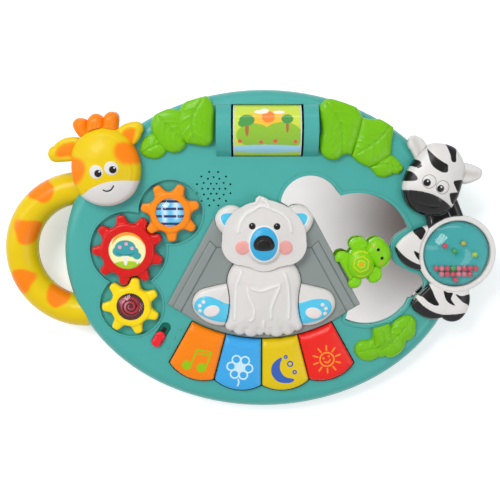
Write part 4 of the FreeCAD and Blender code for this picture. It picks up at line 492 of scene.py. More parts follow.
def colour(red, green, blue):
    """Linear colour from screen values of 0 to 255."""
    def linear(value):
        value /= 255.0
        return value / 12.92 if value <= 0.04045 else ((value + 0.055) / 1.055) ** 2.4
    return (linear(red), linear(green), linear(blue), 1.0)


def node(tree, kind, inputs=None, **settings):
    made = tree.nodes.new("ShaderNode" + kind)
    for key, value in settings.items():
        setattr(made, key, value)
    for socket, value in (inputs or {}).items():
        if isinstance(value, bpy.types.NodeSocket):
            tree.links.new(value, made.inputs[socket])
        else:
            made.inputs[socket].default_value = value
    return made


def mixed(tree, factor, first, second):
    """Colour that goes from the first to the second."""
    mix = node(tree, "Mix", data_type="RGBA")
    for socket, value in ((mix.inputs[0], factor), (mix.inputs[6], first), (mix.inputs[7], second)):
        if isinstance(value, bpy.types.NodeSocket):
            tree.links.new(value, socket)
        else:
            socket.default_value = value
    return mix.outputs[2]


def new_tree(owner):
    """The emptied node tree of a material or a world."""
    owner.use_nodes = True
    owner.node_tree.nodes.clear()
    return owner.node_tree


def end_tree(tree, kind, shader):
    tree.links.new(shader, node(tree, kind).inputs["Surface"])


def mask_value(tree, name, soft, place):
    """1 inside a mask, which is an attribute of the mesh or a group of balls (x, y, z, radius)."""
    if isinstance(name, str):
        inside = node(tree, "Attribute", attribute_name=name).outputs["Fac"]
    else:
        drift = node(tree, "TexNoise", {"Vector": place, "Scale": 45.0, "Detail": 1.0})
        shift = node(tree, "VectorMath", {0: drift.outputs["Color"], 1: (BALL_DRIFT,) * 3},
                     operation="MULTIPLY")
        bent = node(tree, "VectorMath", {0: place, 1: shift.outputs[0]}, operation="ADD").outputs[0]
        inside = FAR
        for *centre, radius in name:
            middle = tuple(to_row((centre,))[0] + BALL_DRIFT / 2)
            away = node(tree, "VectorMath", {0: bent, 1: middle}, operation="DISTANCE").outputs["Value"]
            depth = node(tree, "Math", {0: away, 1: -1000.0, 2: radius}, operation="MULTIPLY_ADD")
            inside = node(tree, "Math", {0: depth.outputs[0], 1: inside}, operation="MAXIMUM").outputs[0]
    share = node(tree, "MapRange", {"Value": inside, "From Min": -soft, "From Max": soft},
                 interpolation_type="SMOOTHSTEP")
    return share.outputs["Result"]


def plastic(name, base, layers=(), roughness=0.3, coat=0.0, mottle=0.05, grain=0.00002, metallic=0.0,
            rounded=0.0):
    """Moulded plastic: slight flow marks, a fine grain, rubbed edges, and layers of print, painted highlight
    and painted shade.

    Colours have screen values of 0 to 255. Each layer is a mask, its colour and the
    softness of its edge. Edges shade as if they had the radius rounded, which suits the
    long flat faces of the CAD solids.
    """
    material = bpy.data.materials.new(name)
    LAYERS_OF[material.name] = [mask for mask, tone, soft in layers if isinstance(mask, str)]
    tree = new_tree(material)
    place = node(tree, "TexCoord").outputs["Object"]
    flow = node(tree, "TexNoise", {"Vector": place, "Scale": 38.0, "Detail": 3.0, "Roughness": 0.55})
    channels = colour(*base)[:3]
    dark = tuple(channel * (1 - mottle) for channel in channels) + (1.0,)
    light = tuple(min(1.0, channel * (1 + mottle)) for channel in channels) + (1.0,)
    paint = mixed(tree, flow.outputs["Fac"], dark, light)
    for mask, tone, soft in layers:
        paint = mixed(tree, mask_value(tree, mask, soft, place), paint, colour(*tone))
    surface = node(tree, "NewGeometry")
    if rounded:
        soft_edge = node(tree, "Bevel", {"Radius": rounded}, samples=4)
        edges = node(tree, "VectorMath", {0: soft_edge.outputs["Normal"], 1: surface.outputs["Normal"]},
                     operation="DOT_PRODUCT").outputs["Value"]
        flat_face, sharp_edge = 0.985, 0.85
    else:
        edges = surface.outputs["Pointiness"]
        flat_face, sharp_edge = 0.52, 0.62
    rubbed = node(tree, "MapRange", {"Value": edges, "From Min": flat_face, "From Max": sharp_edge,
                                     "To Max": EDGE_WEAR})
    pale = mixed(tree, 0.5, paint, PURE_WHITE)
    paint = mixed(tree, rubbed.outputs["Result"], paint, pale)
    smudge = node(tree, "TexNoise", {"Vector": place, "Scale": 70.0, "Detail": 4.0})
    rough = node(tree, "MapRange", {"Value": smudge.outputs["Fac"], "From Min": 0.3, "From Max": 0.7,
                                    "To Min": roughness * 0.85, "To Max": roughness * 1.2})
    fine = node(tree, "TexNoise", {"Vector": place, "Scale": 1400.0, "Detail": 2.0})
    bump = node(tree, "Bump", {"Height": fine.outputs["Fac"], "Distance": grain, "Strength": 1.0})
    if rounded:
        tree.links.new(soft_edge.outputs["Normal"], bump.inputs["Normal"])
    shader = node(tree, "BsdfPrincipled", {
        "Base Color": paint, "Roughness": rough.outputs["Result"], "Normal": bump.outputs["Normal"],
        "Coat Weight": coat, "Coat Roughness": 0.08, "Metallic": metallic, "IOR": 1.46,
        "Specular IOR Level": 0.22,
    })
    end_tree(tree, "OutputMaterial", shader.outputs["BSDF"])
    return material


def clear(name, tint):
    """Thin clear plastic: it lets light straight through and shines at a low angle."""
    material = bpy.data.materials.new(name)
    tree = new_tree(material)
    through = node(tree, "BsdfTransparent", {"Color": tint})
    shine = node(tree, "BsdfGlossy", {"Color": PURE_WHITE, "Roughness": 0.03})
    share = node(tree, "Fresnel", {"IOR": 1.4})
    inside = node(tree, "NewGeometry").outputs["Backfacing"]
    outside = node(tree, "Math", {0: 1.0, 1: inside}, operation="SUBTRACT").outputs[0]
    seen = node(tree, "Math", {0: share.outputs["Fac"], 1: outside}, operation="MULTIPLY").outputs[0]
    mix = node(tree, "MixShader", {"Fac": seen})
    tree.links.new(through.outputs["BSDF"], mix.inputs[1])
    tree.links.new(shine.outputs["BSDF"], mix.inputs[2])
    end_tree(tree, "OutputMaterial", mix.outputs["Shader"])
    return material


def dress(material, *names):
    """Puts a material on solids that keep their CAD shape."""
    for name in names:
        mesh = nodes[name].data
        mesh.materials.clear()
        mesh.materials.append(material)
        mesh.polygons.foreach_set("material_index", [0] * len(mesh.polygons))
        mesh.polygons.foreach_set("use_smooth", [True] * len(mesh.polygons))


TEAL = (70, 168, 160)
LIME = (116, 190, 0)
YELLOW = (232, 198, 0)
ORANGE = (252, 132, 0)
RED = (216, 16, 12)
WHITE = (226, 222, 218)
BLACK = (10, 10, 12)
SKY = (86, 198, 232)
NAVY = (20, 45, 100)
PINK = (236, 166, 158)

# Giraffe: yellow head with orange spots, white muzzle and an orange mane

giraffe_paint = plastic(
    "giraffe_paint", YELLOW,
    (("spots", ORANGE, 2.6), ("inner_ear", ORANGE, 2.2), ("eye", WHITE, 0.25), ("pupil", BLACK, 0.25),
     ("glint", WHITE, 0.2)),
    roughness=0.42, coat=0.1,
)
giraffe_white = plastic("giraffe_white", WHITE, (("smile", BLACK, 0.25),), roughness=0.3, coat=0.1)
mane_paint = plastic("mane_paint", ORANGE, roughness=0.3, coat=0.1)

giraffe_skull = path(
    (-28.8, 6), ((-28.2, -9.7), (-21.8, -23.7)), ((-0.2, -32.7), (23.8, -21.4)),
    ((30, -2), (24.5, 19)), ((3, 34), (-22, 24.5)), ((-27.5, 16.5), (-28.8, 6)), origin=GIRAFFE,
)
giraffe_ears = (
    path((-23, 25.8), ((-35, 25), (-44, 18.8)), ((-49, 10), (-41.5, 4.8)), (-25, 6),
         ((-18, 16), (-23, 25.8)), origin=GIRAFFE),
    path((9, 31), ((18, 37.6), (26.5, 39.3)), ((32, 36), (31, 29)), ((28.5, 23.8), (23, 19)),
         ((13, 20), (9, 31)), origin=GIRAFFE),
)
muzzle_line = curve(
    (-175, 44), (-163, 49), (-154.3, 53.2), (-147.9, 58), (-139.2, 62.5), (-130.1, 65.1), (-120.5, 65.9),
    (-112, 65.6), (-103.9, 65.1), (-95, 64),
)
giraffe_low_face = np.vstack((muzzle_line, ((-95, 30), (-175, 30))))[::-1]
giraffe_high_face = np.vstack((muzzle_line, ((-95, 120), (-190, 120), (-190, 44))))
giraffe_spots = blobs(
    ((-124, 96.1), (-120, 98), (-114.4, 97.7), (-106, 97), (-100, 88.8), (-99, 81),
     (-104.9, 80.2), (-109.2, 79.8), (-116, 79.8), (-120.4, 81.5), (-124.3, 85.5),
     (-125.5, 90.5)),
    ((-166, 85), (-157.2, 84.5), (-152.8, 82.6), (-150.3, 79.2), (-150.2, 74.2), (-152.7, 68.5),
     (-156.8, 64), (-160.3, 62.3), (-166, 62), (-168, 73.1), (-167, 79.8)),
)
inner_ears = blobs(
    ((-176.1, 89.8), (-174.2, 93.1), (-169, 96.2), (-160, 97.5), (-156, 94.3), (-158, 86),
     (-167.1, 85.5), (-172.9, 84.7), (-176.5, 86.4)),
    ((-119.9, 104.9), (-116.9, 108.3), (-111.8, 109.7), (-108.7, 108.3), (-109.1, 103.8),
     (-112.1, 96), (-117.1, 94), (-120.4, 98)),
)
eye_whites = spots((-140.7, 73.3), (-127.9, 76.3), radius=5.8)
brow_fold = curve((-136.9, 104.8), (-132.1, 104.8), (-126.6, 103.2), (-122.2, 100.5), (-118.9, 97.7))
cheek_fold = curve((-113.4, 80), (-112.3, 73.8), (-113, 67))
piece(
    "giraffe_face", "housing", ("giraffe_head",), "giraffe_yellow",
    relief(
        giraffe_skull, 0, total(
            pillow(10, 19, 4, 27), swell(eye_whites, 0.9, 3.0), ridge(0.5, 0.9, brow_fold),
            ridge(0.4, 0.9, cheek_fold),
        ),
        giraffe_paint,
        {"spots": giraffe_spots, "eye": eye_whites,
         "pupil": spots((-139.0, 72.0), (-126.5, 75.2), radius=3.1),
         "glint": spots((-137.7, 73.6), (-125.2, 76.8), radius=0.8)},
        within=(giraffe_high_face,), spacing=0.8,
    ),
    *[relief(ear, 0, total(pillow(6.5, 9, 2, 9), rise(inner_ears, -1.1, 3.0)), giraffe_paint,
             {"inner_ear": inner_ears}, spacing=1.0) for ear in giraffe_ears],
)
smile = curve((-135.2, 58), (-133.1, 57.1), (-130.5, 57.3), (-128.3, 58.6), (-126.4, 61.4))
piece(
    "giraffe_snout", "housing", ("giraffe_muzzle",), "muzzle_white",
    relief(
        giraffe_skull, 0, total(pillow(11, 20.5, 4, 27), groove(0.5, 0.7, smile)),
        giraffe_white, {"smile": strokes(1.25, smile)},
        within=(giraffe_low_face,), lines=(smile,), spacing=0.8,
    ),
)
tufts = (
    smooth_path((-154, 98), (-156.1, 101), (-160.4, 106.6), (-162.5, 111.6), (-161.8, 115), (-158.9, 117.8),
                (-154.9, 118.3), (-151, 117.2), (-149.4, 114.4), (-149.1, 110), (-147, 103), (-150, 98)),
    smooth_path((-150, 100), (-151.4, 106), (-150.9, 112.2), (-149, 117.7), (-145.5, 121.1), (-142.1, 121.9),
                (-138.8, 121.1), (-136.1, 118.3), (-135.2, 114.4), (-136, 109), (-138, 103), (-144, 99)),
    smooth_path((-138.7, 103), (-137.9, 110), (-136.9, 116), (-135.6, 119.8), (-132.1, 122.9),
                (-128.2, 123.6), (-124.8, 122.6), (-122.9, 119.6), (-123.1, 114.4), (-124.3, 108),
                (-126, 102.6), (-132, 100)),
)
tuft_lines = (
    curve((-159, 113.9), (-157.5, 108.9), (-154.8, 104.4)),
    curve((-143.3, 119.4), (-142.7, 115), (-144, 108)),
    curve((-131.1, 121), (-130.1, 116), (-130.8, 110)),
)
skull_gap = grown(giraffe_skull, -0.4)
piece(
    "giraffe_tufts", "housing", ("giraffe_mane",), "giraffe_orange",
    *[relief(tuft, 0, total(pillow(top - 4, top, 2.5, 7), groove(0.5, 0.9, line)), mane_paint,
             cuts=(skull_gap,), spacing=1.0)
      for tuft, line, top in zip(tufts, tuft_lines, (9.5, 11.0, 10.0))],
)

# Bear: white, with blue ear and sole pads, and a round black nose

BEAR_WHITE = (220, 216, 212)
MUZZLE_MIDDLE = (0.6, 11.7)
BODY_BOTTOM = 3.4
SKIRT_BOTTOM = -3.0
SKIRT_TOP = 6.0
# The fold layer is a painted highlight: a paler line along each raised fold of the bear's head and body
bear_paint = plastic(
    "bear_paint", BEAR_WHITE,
    (("fold", (240, 237, 232), 0.9), ("patch_ring", (236, 233, 230), 0.3),
     ("patch", (58, 172, 220), 0.3), ("cheek", PINK, 0.5), ("eye", BLACK, 0.25), ("glint", WHITE, 0.2),
     ("blue_rim", (240, 240, 240), 0.3), ("blue", SKY, 0.3), ("pad", (236, 226, 222), 0.3)),
    roughness=0.28, coat=0.12,
)
nose_paint = plastic("nose_paint", BLACK, roughness=0.22, coat=0.2, mottle=0.2)
bear_skull = path(
    (-36.2, 14), ((-33, -0.5), (-22, -7.2)), (-12, -9.3), ((0, -13), (12, -9.3)), (22, -7.2),
    ((33, -0.5), (36.2, 14)), ((32, 31), (20, 42.5)), ((13, 46), (4.5, 48.4)), ((0.5, 50.8), (-3.5, 52.3)),
    ((-6.3, 51), (-7.6, 47.2)), ((-14, 45.2), (-20.5, 42)), ((-32, 31), (-36.2, 14)), origin=BEAR,
)
bear_ear = path(
    (-21, 41.8), ((-36, 42), (-42.8, 32)), ((-41.5, 26.5), (-35.6, 19)), (-24, 24), origin=BEAR,
)
inner_ear = smooth_path(
    (-36.6, 32.7), (-36.3, 35.1), (-33.8, 37), (-29, 37.3), (-24, 36), (-27, 32.7), (-29.8, 29.3),
    (-31.5, 25.7), (-34.8, 28.3),
)
ear_pads = region(inner_ear, mirrored(inner_ear))
ear_rims = strokes(1.6, closed_line(inner_ear), mirrored(closed_line(inner_ear)))
muzzle_patch = ellipses((*MUZZLE_MIDDLE, 12.0, 14.6, 0))
patch_ring = ellipses((*MUZZLE_MIDDLE, 13.2, 15.8, 0))
cheeks = without(spots((-17.7, 8.2), (19.0, 8.2), radius=6.3), patch_ring)
head_lines = [
    curve((-7.4, 41.1), (-14.6, 36.8), (-19.7, 30), (-21.8, 21.5)),
    curve((7.3, 41.5), (16.6, 36.8), (22.1, 30.9), (24.3, 22.4)),
    curve((-8.7, 40.2), (-4.5, 43.2), (0.5, 44), (5.6, 41.9)),
    curve((-7.9, 45.8), (-5.3, 48.4), (-3.2, 52.2)), curve((4.8, 43.3), (3.1, 46.7), (-0.3, 49.6)),
]
piece(
    "bear_face", "housing", ("bear_head",), "bear_white",
    relief(
        bear_skull, 0, total(
            over(pillow(9.5, 15, 4, 30), mound((0.8, 10.5), 15.5, 17.0, 12.0, 19.0), 0.8),
            ridge(1.1, 1.2, *head_lines), swell(cheeks, 0.9, 3.0),
        ),
        bear_paint,
        {"patch_ring": patch_ring, "patch": muzzle_patch, "cheek": cheeks,
         "eye": spots((-9.5, 26.9), (11.7, 26.6), radius=2.9),
         # painted highlight along the head's fold ridges
         "glint": spots((-10.0, 28.0), (11.2, 27.7), radius=0.5), "fold": strokes(1.3, *head_lines)},
        lines=head_lines, spacing=0.8,
    ),
    *[relief(ear, 0, total(pillow(6.5, 9.0, 2, 9), rise(ear_pads, -1.0, 2.0)), bear_paint,
             {"blue": ear_pads, "blue_rim": either(ear_pads, ear_rims)}, cuts=(grown(bear_skull, -1.5),),
             spacing=0.9)
      for ear in (bear_ear, mirrored(bear_ear))],
)
nose_outline = smooth_path(
    (-8.7, 11.2), (-7.9, 14.6), (-4.5, 18.4), (0.5, 19.8), (5.6, 18.4), (8.9, 14.6), (10, 10.3),
    (8.1, 6.9), (3.9, 5.6), (0.6, 5.3), (-3.2, 5.6), (-7.4, 7.3),
)
nostril_line = curve((-5.0, 10.8), (-4.2, 14.0), (0.6, 15.8), (5.2, 14.2), (6.4, 10.6))
piece(
    "bear_nose_button", "housing", ("bear_nose",), "nose_black",
    relief(nose_outline, 15, total(pillow(19.0, 22.6, 2.4, 7), ridge(0.5, 0.6, nostril_line)), nose_paint,
           spacing=0.7),
)
bear_body = path(
    (-24.5, -6), ((-31, -15.5), (-32.2, -26)), ((-30.3, -43), (-33.6, -60)), ((-33.4, -65.6), (-27.6, -67.4)),
    ((-22.6, -71.2), (-17.2, -70.4)), ((-11.4, -73.0), (-6.0, -71.2)), ((-2.6, -71.6), (0, -69.2)),
    ((2.6, -71.6), (6.0, -71.2)), ((11.4, -73.0), (17.2, -70.4)), ((22.6, -71.2), (27.6, -67.4)),
    ((33.4, -65.6), (33.6, -60)), ((30.3, -43), (32.2, -26)), ((31, -15.5), (24.5, -6)), origin=BEAR,
)
body_lines = [
    curve((-18.9, -13.4), (-21.5, -20.4), (-23.7, -26.6), (-24.6, -41.5), (-25.1, -55.7)),
    curve((-9.5, -28.1), (-1.8, -29.9), (6.8, -27.2), (14.5, -24.6)),
    curve((-13.8, -28.1), (-12.1, -36.9), (-8.6, -43.9), (-8.2, -53.7), (-11.2, -57.2)),
    curve((14.5, -26.3), (9.4, -38.6), (6.9, -46.6), (6.9, -54.6)),
    curve((18.8, -15.2), (21.4, -23.9), (22.3, -32.7), (22.9, -44.2), (22.5, -54.8)),
    curve((0.2, -58.2), (0.4, -71.5)),
]
toe_gaps = [
    np.array(((BEAR[0] + x, -70.0), (BEAR[0] + 0.9 * x, -65.0)))
    for x in (-27.6, -17.2, -6.0, 0, 6.0, 17.2, 27.6)
]
skirt = path((-23, -16), (25, -16), (25, -60), (-23, -60))
piece(
    "bear_belly", "belly_button", ("bear_body",), "bear_white",
    relief(
        bear_body, BODY_BOTTOM,
        total(pillow(8.0, 13.5, 3, 28), ridge(1.2, 1.2, *body_lines), groove(0.9, 1.5, *toe_gaps)),
        # painted highlight along the body's fold ridges
        bear_paint, {"fold": strokes(1.3, *body_lines)}, cuts=(grown(bear_skull, 0.5),), lines=body_lines,
        spacing=0.9,
    ),
    relief(skirt, SKIRT_BOTTOM, flat(SKIRT_TOP), bear_paint, spacing=6.0),
)
bear_leg = path(
    (-28, -24), (-30, -24.5), ((-43, -27.2), (-54, -30)), ((-63, -40.5), (-59.5, -52.5)),
    ((-48, -61), (-33, -62.6)), (-28, -62.6), origin=BEAR,
)
soles = blobs(
    ((-60.5, -45.8), (-59.3, -40.5), (-54.9, -36.7), (-47.6, -35.6), (-39.8, -38.2),
     (-33.8, -41.5), (-29, -43.8), (-28, -49.3), (-28, -54.7), (-33, -59), (-42.6, -57.8),
     (-51.2, -54.7), (-57.3, -50.7)),
    ((28.7, -43.6), (35.6, -40.5), (43.3, -38.2), (51.1, -37.8), (57.6, -39.6), (60.3, -44.9),
     (59.1, -50.2), (53.1, -55.6), (44.5, -58.7), (34, -60.2), (29.4, -54), (28, -48)),
)
sole_pads = either(
    ellipses((-45.1, -48.6, 7.2, 5.0, 18), (44.4, -50.4, 7.2, 5.0, -12)),
    spots((-52.2, -40.5), (-55.5, -44), (-55.3, -48.6), (52.1, -42.9), (55.2, -46.4), (54.5, -51.1),
          radius=1.7),
)
piece(
    "bear_feet", "housing", ("bear_legs",), "bear_white",
    *[relief(leg, 0, total(pillow(6.5, 10, 2.2, 14), swell(soles, 0.6, 1.5), swell(sole_pads, 0.6, 1.5)),
             bear_paint, {"blue": soles, "pad": sole_pads}, cuts=(grown(bear_body, 0.5),), spacing=0.8)
      for leg in (bear_leg, mirrored(bear_leg))],
)

# Zebra: white with black stripes, a black muzzle and a white ring for its belly

# The ear_shade layer is painted shade: a darker band along the crease of each ear
zebra_paint = plastic(
    "zebra_paint", WHITE,
    (("stripe", BLACK, 0.3), ("eye_ring", (130, 128, 126), 0.15), ("eye", WHITE, 0.2),
     ("pupil", BLACK, 0.25), ("glint", WHITE, 0.2), ("ear_shade", (206, 200, 195), 2.5)),
    roughness=0.28, coat=0.12,
)
zebra_dark = plastic("zebra_dark", BLACK, (("line", (150, 150, 150), 0.2),), roughness=0.2, coat=0.4,
                     mottle=0.2)
zebra_skull = smooth_path(
    (-39.5, 81.6), (-46, 70.6), (-49.4, 57.6), (-44.5, 42.4), (-30, 33.8), (-13, 34.6), (-3, 46.6),
    (1.6, 61.6), (3, 77), (-5.5, 91.5), (-22, 95.9), (-31.5, 91), origin=ZEBRA,
)
zebra_ears = (
    path((-29.5, 93.1), ((-34.5, 100.1), (-41, 102.4)), ((-45.5, 97.6), (-43, 89.6)), (-38, 80.1),
         origin=ZEBRA),
    path((-1, 79), ((11.5, 77.2), (18.3, 73.6)), ((18.6, 68.1), (13.2, 63.5)), ((7, 61.2), (-1, 61)),
         origin=ZEBRA),
)
zebra_muzzle_line = wire(
    (-60, 55.8), (-50.2, 55.8), ((-29, 53.8), (-9, 41.8)), (8, 30), origin=ZEBRA,
)
zebra_low_face = np.vstack((zebra_muzzle_line, np.array(ZEBRA) + ((8, 20), (-60, 20))))[::-1]
zebra_high_face = np.vstack((zebra_muzzle_line, np.array(ZEBRA) + ((30, 30), (30, 120), (-60, 120))))
head_stripes = blobs(
    ((138.7, 92.3), (141.1, 89.8), (145.8, 85.2), (151.1, 81.5), (154.8, 79.3), (155.2, 76),
     (154.9, 73.3), (151.4, 72.7), (147.3, 74.4), (143.1, 77.4), (140.6, 81.5), (139.4, 86.5)),
    ((154.2, 98), (159.2, 96), (163.4, 92.5), (162.7, 86.9), (162.3, 81.6), (158.5, 82.1),
     (157.2, 88)),
    ((124.2, 84), (131.4, 82.9), (133.5, 80.3), (130, 77.1), (126.4, 77.6), (121, 77),
     (121, 80.3)),
    ((130.1, 76.7), (133.1, 79.3), (133.9, 77.9), (131.1, 76.1)),
    ((115, 73.2), (123.5, 73.9), (127.6, 71.9), (130.4, 68.3), (129.4, 66), (124.3, 65.3),
     (114, 65), (113, 69.1)),
    ((160.8, 64.5), (163, 65.9), (170.4, 65.4), (172, 58), (166.3, 55.8), (163, 59.8)),
    ((157.9, 53.7), (159.8, 55.4), (169, 55), (169, 49.6), (164.1, 45.8), (160.8, 46.2)),
)
zebra_eyes = ((139.7, 65.2), (151.2, 60.3))
eye_discs = spots(*zebra_eyes, radius=5.4)
ear_creases = (
    curve((128.2, 100), (131, 94), (133.3, 87.8), (134.5, 82.7)),
    curve((171, 71.4), (177.3, 70.4), (182.4, 70.4)),
)
piece(
    "zebra_face", "housing", ("zebra_head",), "zebra_white",
    relief(
        zebra_skull, 0, total(pillow(10, 18, 4, 25), swell(eye_discs, 0.7, 2.0)), zebra_paint,
        {"stripe": head_stripes, "eye_ring": spots(*zebra_eyes, radius=5.9), "eye": eye_discs,
         "pupil": spots((137.8, 64.3), (149.3, 59.3), radius=3.1),
         "glint": spots((138.4, 65.6), (149.9, 60.6), radius=0.8)},
        within=(zebra_high_face,), spacing=0.8,
    ),
    *[relief(ear, 0, total(pillow(7, 9, 2.5, 8), groove(1.3, 2.6, crease)), zebra_paint,
             # painted shade along the ear's crease
             {"ear_shade": strokes(5.0, crease)}, cuts=(grown(zebra_skull, -1.0),), spacing=0.9)
      for ear, crease in zip(zebra_ears, ear_creases)],
)
lip_line = curve((125.5, 57.1), (126.4, 51.5), (129.6, 47.9), (135.9, 45.3), (143.1, 44), (149.3, 44))
piece(
    "zebra_snout", "housing", ("zebra_muzzle",), "zebra_black",
    relief(zebra_skull, 0, total(pillow(11, 19.5, 4, 25), groove(0.9, 1.0, lip_line)), zebra_dark,
           within=(zebra_low_face,), lines=(lip_line,), spacing=0.8),
)
zebra_neck = path((-28, 40), (-2.6, 50), (4.2, 34.2), (4, 26), (-26, 22), origin=ZEBRA)
neck_lines = (np.array(((158.5, 41.5), (161.5, 34))), np.array(((143.5, 37), (146, 28))))
ring_hole = circle(ZEBRA, 33.5)
piece(
    "zebra_throat", "housing", ("zebra_neck",), "zebra_black",
    relief(zebra_neck, 0, pillow(6.0, 7.5, 1.5, 6), zebra_dark,
           {"line": strokes(0.8, *neck_lines)}, cuts=(grown(zebra_skull, -1.0), ring_hole), spacing=1.0),
)
zebra_arm = path(
    (-23, 25.6), ((-39.4, 19.9), (-51.5, 9.6)), ((-53.4, 5.4), (-51.8, -0.4)), ((-45, -9.7), (-31, -13.9)),
    (-18, -10), origin=ZEBRA,
)
zebra_legs = path(
    (-19, -24), (-34.7, -39.9), ((-37.4, -45.4), (-31.7, -53.2)), ((-21.5, -58.4), (-10.6, -57.4)),
    ((-2.5, -61.2), (7, -57.9)), ((11.6, -50.9), (12.5, -33.4)), (12.5, -24), origin=ZEBRA,
)
arm_hoof = path(
    (-53.9, 7.4), ((-44.9, -2.5), (-31, -9.6)), (-31, -25), (-70, -25), (-70, 7.4), origin=ZEBRA,
)
leg_hoof = path(
    (-36.5, -35.6), ((-24.3, -48.5), (-9.5, -54)), ((-0.4, -53.4), (14, -52)), (14, -75), (-50, -75),
    (-50, -35.6), origin=ZEBRA,
)
limb_stripes = blobs(
    ((130.1, 21.1), (133, 24.5), (136.9, 26.2), (140.5, 22), (139.2, 18.2), (136.7, 14.2),
     (133.2, 17.6)),
    ((130.9, 4.5), (135.5, 2.2), (137.5, -2), (135.4, -3.4), (132.4, 0.3)),
    ((135, -34), (143, -23), (148, -30), (151, -37), (154.5, -43.2), (150.9, -44), (144.7, -40.6),
     (140.5, -36.7)),
    ((158.1, -31), (162, -32.4), (166.2, -32.9), (164.9, -38.4), (168.7, -44), (164.3, -42.5),
     (160.4, -38.7)),
    ((168.6, -33.8), (174.1, -35.5), (182.4, -35), (183, -45.4), (179, -43), (175.7, -41.4),
     (172.2, -38.2)),
)
zebra_reach = (
    (zebra_arm, 2.0, pillow(6.5, 8.5, 2, 11), arm_hoof), (zebra_legs, 0.0, pillow(6.0, 8.5, 2, 11), leg_hoof),
)
piece(
    "zebra_arm_and_legs", "housing", ("zebra_limbs",), "zebra_white",
    *[relief(limb, low, height, zebra_paint, {"stripe": limb_stripes},
             cuts=(ring_hole, hoof, grown(zebra_neck, 0.1)), spacing=0.8)
      for limb, low, height, hoof in zebra_reach],
)
piece(
    "zebra_hoof_tips", "housing", ("zebra_hooves",), "zebra_black",
    *[relief(limb, low, height, zebra_dark, within=(hoof,), cuts=(ring_hole,), spacing=0.9)
      for limb, low, height, hoof in zebra_reach],
)


def quarter(radius, z, rounding, first):
    """Profile points of a quarter circle, from the angle first on."""
    return [(radius + rounding * math.cos(a), z + rounding * math.sin(a))
            for a in np.linspace(first, first + math.pi / 2, 8)]


ring_profile = [
    (34.0, 0.0), *quarter(32.0, 5.0, 2.0, 0.0), *quarter(30.9, 5.3, 1.7, math.pi / 2), (29.2, 0.0),
]
piece(
    "zebra_belly_ring", "housing", ("zebra_ring",), "zebra_white",
    turned(ZEBRA, ring_profile, zebra_paint, segments=128),
)

# Gears: three that mesh, with a picture disc in the red one and clear lenses in the others

RED_GEAR = (-118.3, 4.5)
GEAR_DISTANCE = 50.2
RED_TEETH = 9
SMALL_TEETH = 7
SMALL_ROOT = 18.0
SMALL_TIP = 25.8
SMALL_SEAT = 12.4
TOOTH_HALF_ROOT = 4.6
TOOTH_HALF_TIP = 3.4
GEAR_BOTTOM = -2.7
DISC_STEP = 1.7
SEAT_HEIGHT = 5.0
PICTURE_RADIUS = 16.2
LENS_PRINT_RADIUS = 12.2
LENS_PRINT_TOP = 5.8
LENS_RADIUS = 12.3
LENS_BOTTOM = 6.0
LENS_RIM = 7.4
LENS_TOP = 11.0
TO_ORANGE = 41.3
TO_YELLOW = -88.3
ORANGE_GEAR = polar(RED_GEAR, GEAR_DISTANCE, TO_ORANGE)
YELLOW_GEAR = polar(RED_GEAR, GEAR_DISTANCE, TO_YELLOW)


def gear_outline(centre, root, tip, teeth, phase):
    """Rounded teeth with straight flanks, as the CAD gears have."""
    def at(x, y, angle):
        return tuple(rotated(((x, y),), angle)[0])

    base = root + 2.2
    shoulder = tip - 1.2
    steps = []
    for index in range(teeth):
        angle = phase + index * 360 / teeth
        after = angle + 360 / teeth
        steps.append(at(shoulder, -TOOTH_HALF_TIP, angle))
        steps.append((at(tip, 0, angle), at(shoulder, TOOTH_HALF_TIP, angle)))
        steps.append(at(base, TOOTH_HALF_ROOT, angle))
        steps.append((at(root, 0, (angle + after) / 2), at(base, -TOOTH_HALF_ROOT, after)))
    return path(at(base, -TOOTH_HALF_ROOT, phase), *steps, origin=centre)


def gear(name, body, node_name, slot, material, centre, root, tip, teeth, phase, seat):
    """A gear with softened teeth and a raised disc round its seat."""
    outline = gear_outline(centre, root, tip, teeth, phase)
    disc_radius = root + 0.3
    disc = spots(centre, radius=disc_radius)
    piece(
        name, body, (node_name,), slot,
        relief(outline, GEAR_BOTTOM, total(pillow(4.8, 5.6, 1.6, 4), swell(disc, DISC_STEP, 2.4)), material,
               cuts=(circle(centre, seat),),
               lines=(circle(centre, disc_radius), circle(centre, disc_radius - 1.0)), spacing=0.9),
    )


red_paint = plastic("red_paint", RED, roughness=0.26, coat=0.15)
orange_paint = plastic("orange_paint", (252, 138, 4), roughness=0.26, coat=0.15)
yellow_paint = plastic("yellow_paint", (252, 218, 0), roughness=0.26, coat=0.15)
half_red = 180 / RED_TEETH
gear("red_wheel", "red_gear", "gear_red", "gear_red_plastic", red_paint, RED_GEAR, 23.6, 31.4, RED_TEETH,
     TO_ORANGE + half_red, 16.3)
gear("orange_wheel", "orange_gear", "gear_orange", "gear_orange_plastic", orange_paint, ORANGE_GEAR,
     SMALL_ROOT, SMALL_TIP, SMALL_TEETH, TO_ORANGE + 180, SMALL_SEAT)
gear("yellow_wheel", "yellow_gear", "gear_yellow", "gear_yellow_plastic", yellow_paint, YELLOW_GEAR,
     SMALL_ROOT, SMALL_TIP, SMALL_TEETH,
     TO_YELLOW + 180 + (TO_YELLOW - TO_ORANGE) * RED_TEETH / SMALL_TEETH, SMALL_SEAT)


def on_red(*shapes):
    """Ellipses placed from the middle of the red gear."""
    return ellipses(*[(RED_GEAR[0] + x, RED_GEAR[1] + y, rx, ry, turn) for x, y, rx, ry, turn in shapes])


